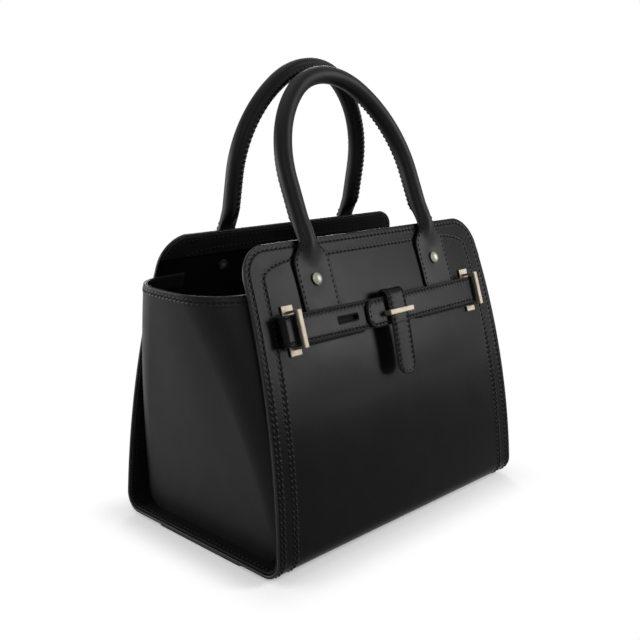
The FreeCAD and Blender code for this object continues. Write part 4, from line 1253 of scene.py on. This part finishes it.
def rounded_block(mesh, low, high, radius, turned):
    """Add a box with rounded edges, its corners given on the belt's frame."""
    block = bmesh.new()
    bmesh.ops.create_cube(block, size=1.0)
    for vertex in block.verts:
        share = np.array(vertex.co) + 0.5
        vertex.co = Vector(np.array(low) + (np.array(high) - np.array(low)) * share)
    bmesh.ops.bevel(block, geom=block.edges[:], offset=radius, segments=4, profile=0.5, affect="EDGES")
    for vertex in block.verts:
        across, up, level = vertex.co
        if turned:
            across, up = up, across
        vertex.co = Vector(on_belt(across, up, level) * MM)
    if turned:
        bmesh.ops.reverse_faces(block, faces=block.faces[:])
    scratch = bpy.data.meshes.new("block")
    block.to_mesh(scratch)
    block.free()
    mesh.from_mesh(scratch)
    bpy.data.meshes.remove(scratch)


def finish_blocks(name, mesh):
    made = bpy.data.meshes.new(name)
    mesh.to_mesh(made)
    mesh.free()
    made.materials.append(gold)
    made.polygons.foreach_set("use_smooth", [True] * len(made.polygons))
    piece = link(name, made)
    normals = piece.modifiers.new("even_shading", "WEIGHTED_NORMAL")
    normals.keep_sharp = True
    return piece


def make_bridges():
    """Polished bar on two legs, and the plate under each of the outer two."""
    layout = (
        ("left", -BRIDGE_ACROSS, SIDE_LEVELS),
        ("right", BRIDGE_ACROSS, SIDE_LEVELS),
        ("centre", -CENTRE_BAR_DROP, CENTRE_LEVELS),
    )
    for name, across, (foot, under) in layout:
        turned = name == "centre"
        low, high = across - BAR_HALF, across + BAR_HALF
        bar = bmesh.new()
        rounded_block(bar, (low, -BAR_FAR, under), (high, BAR_FAR, under + BAR_THICK), BAR_ROUND, turned)
        for side in (-1, 1):
            ends = sorted((side * BAR_NEAR, side * BAR_FAR))
            leg_low = (low + LEG_SLIM, ends[0] + LEG_INSET, foot)
            leg_high = (high - LEG_SLIM, ends[1] - LEG_INSET, under + LEG_SINK)
            rounded_block(bar, leg_low, leg_high, SMALL_ROUND, turned)
        dress(finish_blocks(name + "_bridge_bar", bar), "bag", "plated_metal", name + "_bridge")
        if turned:
            continue
        plate = bmesh.new()
        plate_low = (across - PLATE_HALF, -PLATE_REACH, SEAT)
        plate_high = (across + PLATE_HALF, PLATE_REACH, PLATE_TOP)
        rounded_block(plate, plate_low, plate_high, SMALL_ROUND, False)
        piece = finish_blocks(name + "_bridge_base_plate", plate)
        dress(piece, "bag", "plated_metal", name + "_bridge_plate")


def dress_solids():
    """Finish of the solids that show as they are."""
    finishes = {"handle_rivets": nickel, "handle_rivet_caps": steel, "base_board": board}
    for name in ("left", "right", "centre"):
        finishes[name + "_bridge_backing"] = steel
    for name in ("front", "rear"):
        finishes[name + "_handle_core"] = cord
    for name, material in finishes.items():
        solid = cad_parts[name]
        solid.data.materials.clear()
        solid.data.materials.append(material)


make_body()
make_facings()
make_gussets()
make_base()
make_handle("front", -1.0, FRONT_TILT)
make_handle("rear", 1.0, REAR_TILT)
make_belts()
make_closure()
make_bridges()
dress_solids()


# Stage, in metres: pale floor, white surround, soft boxes and the camera.
FLOOR_REACH = 6.0
FLOOR_SINK = 0.0002
FLOOR_TONE = 0.9
SHADOW_REACH = 0.04
SHADOW_LIFT = 0.25
SURROUND_LIGHT = 0.15
SOFT_BOXES = (
    ("front_right_box", (1.15, -1.25, 0.74), 0.2, (0.45, 1.2), 35.0),
    ("top_box", (-0.15, 0.2, 1.7), 0.2, (1.4, 1.4), 8.0),
    ("rear_right_box", (1.15, 1.25, 0.74), 0.2, (0.45, 1.2), 16.0),
    ("left_box", (-1.04, 1.18, 0.32), 0.15, (1.45, 0.6), 26.0),
    ("front_left_box", (-1.05, -1.1, 1.1), 0.25, (0.8, 0.8), 7.0),
)
SENSOR = 36.0
IMAGE_WIDTH = 640.0
FOCAL_PIXELS = 916.66
CAMERA_PLACE = (-0.57759, -0.55816, 0.35080)
CAMERA_YAW = math.radians(45.489)
CAMERA_PITCH = math.radians(13.018)


def seen_directly(tree):
    """1 for what the camera, gloss and clear stuff see, 0 for the light that is given off."""
    path = tree.add("ShaderNodeLightPath")
    seen = path.outputs["Is Camera Ray"]
    for ray in ("Is Glossy Ray", "Is Transmission Ray"):
        seen = tree.feed("ShaderNodeMath", "MAXIMUM", seen, path.outputs[ray])["Value"]
    return seen


def pale_surface(name):
    """White floor that takes the bag's shadow close to its base and is plain white farther off."""
    material = bpy.data.materials.new(name)
    material.use_nodes = True
    tree = Nodes(material.node_tree)
    tree.nodes.clear()
    place = tree.add("ShaderNodeTexCoord").outputs["Object"]
    base = (BASE_HALF * MM, HALF_DEPTH * MM, 1.0)
    place = tree.feed("ShaderNodeVectorMath", "ABSOLUTE", place)["Vector"]
    place = tree.feed("ShaderNodeVectorMath", "SUBTRACT", place, base)["Vector"]
    place = tree.feed("ShaderNodeVectorMath", "MAXIMUM", place, (0.0, 0.0, 0.0))["Vector"]
    reach = tree.feed("ShaderNodeVectorMath", "LENGTH", place)["Value"]
    fade = tree.add("ShaderNodeMapRange", Value=reach, From_Max=SHADOW_REACH, To_Min=SHADOW_LIFT)
    fade.interpolation_type = "SMOOTHSTEP"
    share = tree.feed("ShaderNodeMath", "MULTIPLY", fade.outputs["Result"], seen_directly(tree))["Value"]
    matt = tree.add("ShaderNodeBsdfDiffuse", Color=(FLOOR_TONE, FLOOR_TONE, FLOOR_TONE, 1.0))
    white = tree.add("ShaderNodeEmission", Strength=1.0)
    shown = tree.feed("ShaderNodeMixShader", None, share, matt.outputs["BSDF"], white.outputs["Emission"])
    tree.add("ShaderNodeOutputMaterial", Surface=shown["Shader"])
    return material


def make_stage():
    mesh = bpy.data.meshes.new("floor")
    corners = FLOOR_REACH * np.array([(-1, -1, 0), (1, -1, 0), (1, 1, 0), (-1, 1, 0)])
    mesh.from_pydata(corners.tolist(), [], [(0, 1, 2, 3)])
    mesh.materials.append(pale_surface("pale_floor"))
    floor = link("floor", mesh)
    floor.location.z = -FLOOR_SINK


def make_surround():
    """White for what the camera and the gloss see, dimmer for the light that it gives."""
    world = bpy.data.worlds.new("studio")
    bpy.context.scene.world = world
    world.use_nodes = True
    tree = Nodes(world.node_tree)
    tree.nodes.clear()
    shades = []
    for strength in (SURROUND_LIGHT, 1.0):
        shade = tree.add("ShaderNodeBackground", Color=(1.0, 1.0, 1.0, 1.0), Strength=strength)
        shades.append(shade.outputs["Background"])
    shown = tree.feed("ShaderNodeMixShader", None, seen_directly(tree), *shades)
    tree.add("ShaderNodeOutputWorld", Surface=shown["Shader"])


def soft_box(name, place, aim, extent, power):
    """Lamp with a rectangular face that looks at the bag's middle, at a height."""
    lamp = bpy.data.lights.new(name, "AREA")
    lamp.shape = "RECTANGLE"
    lamp.size, lamp.size_y = extent
    lamp.energy = power
    box = link(name, lamp)
    box.location = place
    box.rotation_euler = (Vector((0.0, 0.0, aim)) - Vector(place)).to_track_quat("-Z", "Y").to_euler()


def make_camera():
    lens = bpy.data.cameras.new("camera")
    lens.sensor_width = SENSOR
    lens.lens = SENSOR * FOCAL_PIXELS / IMAGE_WIDTH
    camera = link("camera", lens)
    camera.location = CAMERA_PLACE
    camera.rotation_euler = (math.pi / 2 - CAMERA_PITCH, 0.0, -CAMERA_YAW)
    bpy.context.scene.camera = camera


make_stage()
make_surround()
for settings in SOFT_BOXES:
    soft_box(*settings)
make_camera()
bpy.context.scene.view_settings.view_transform = "Standard"
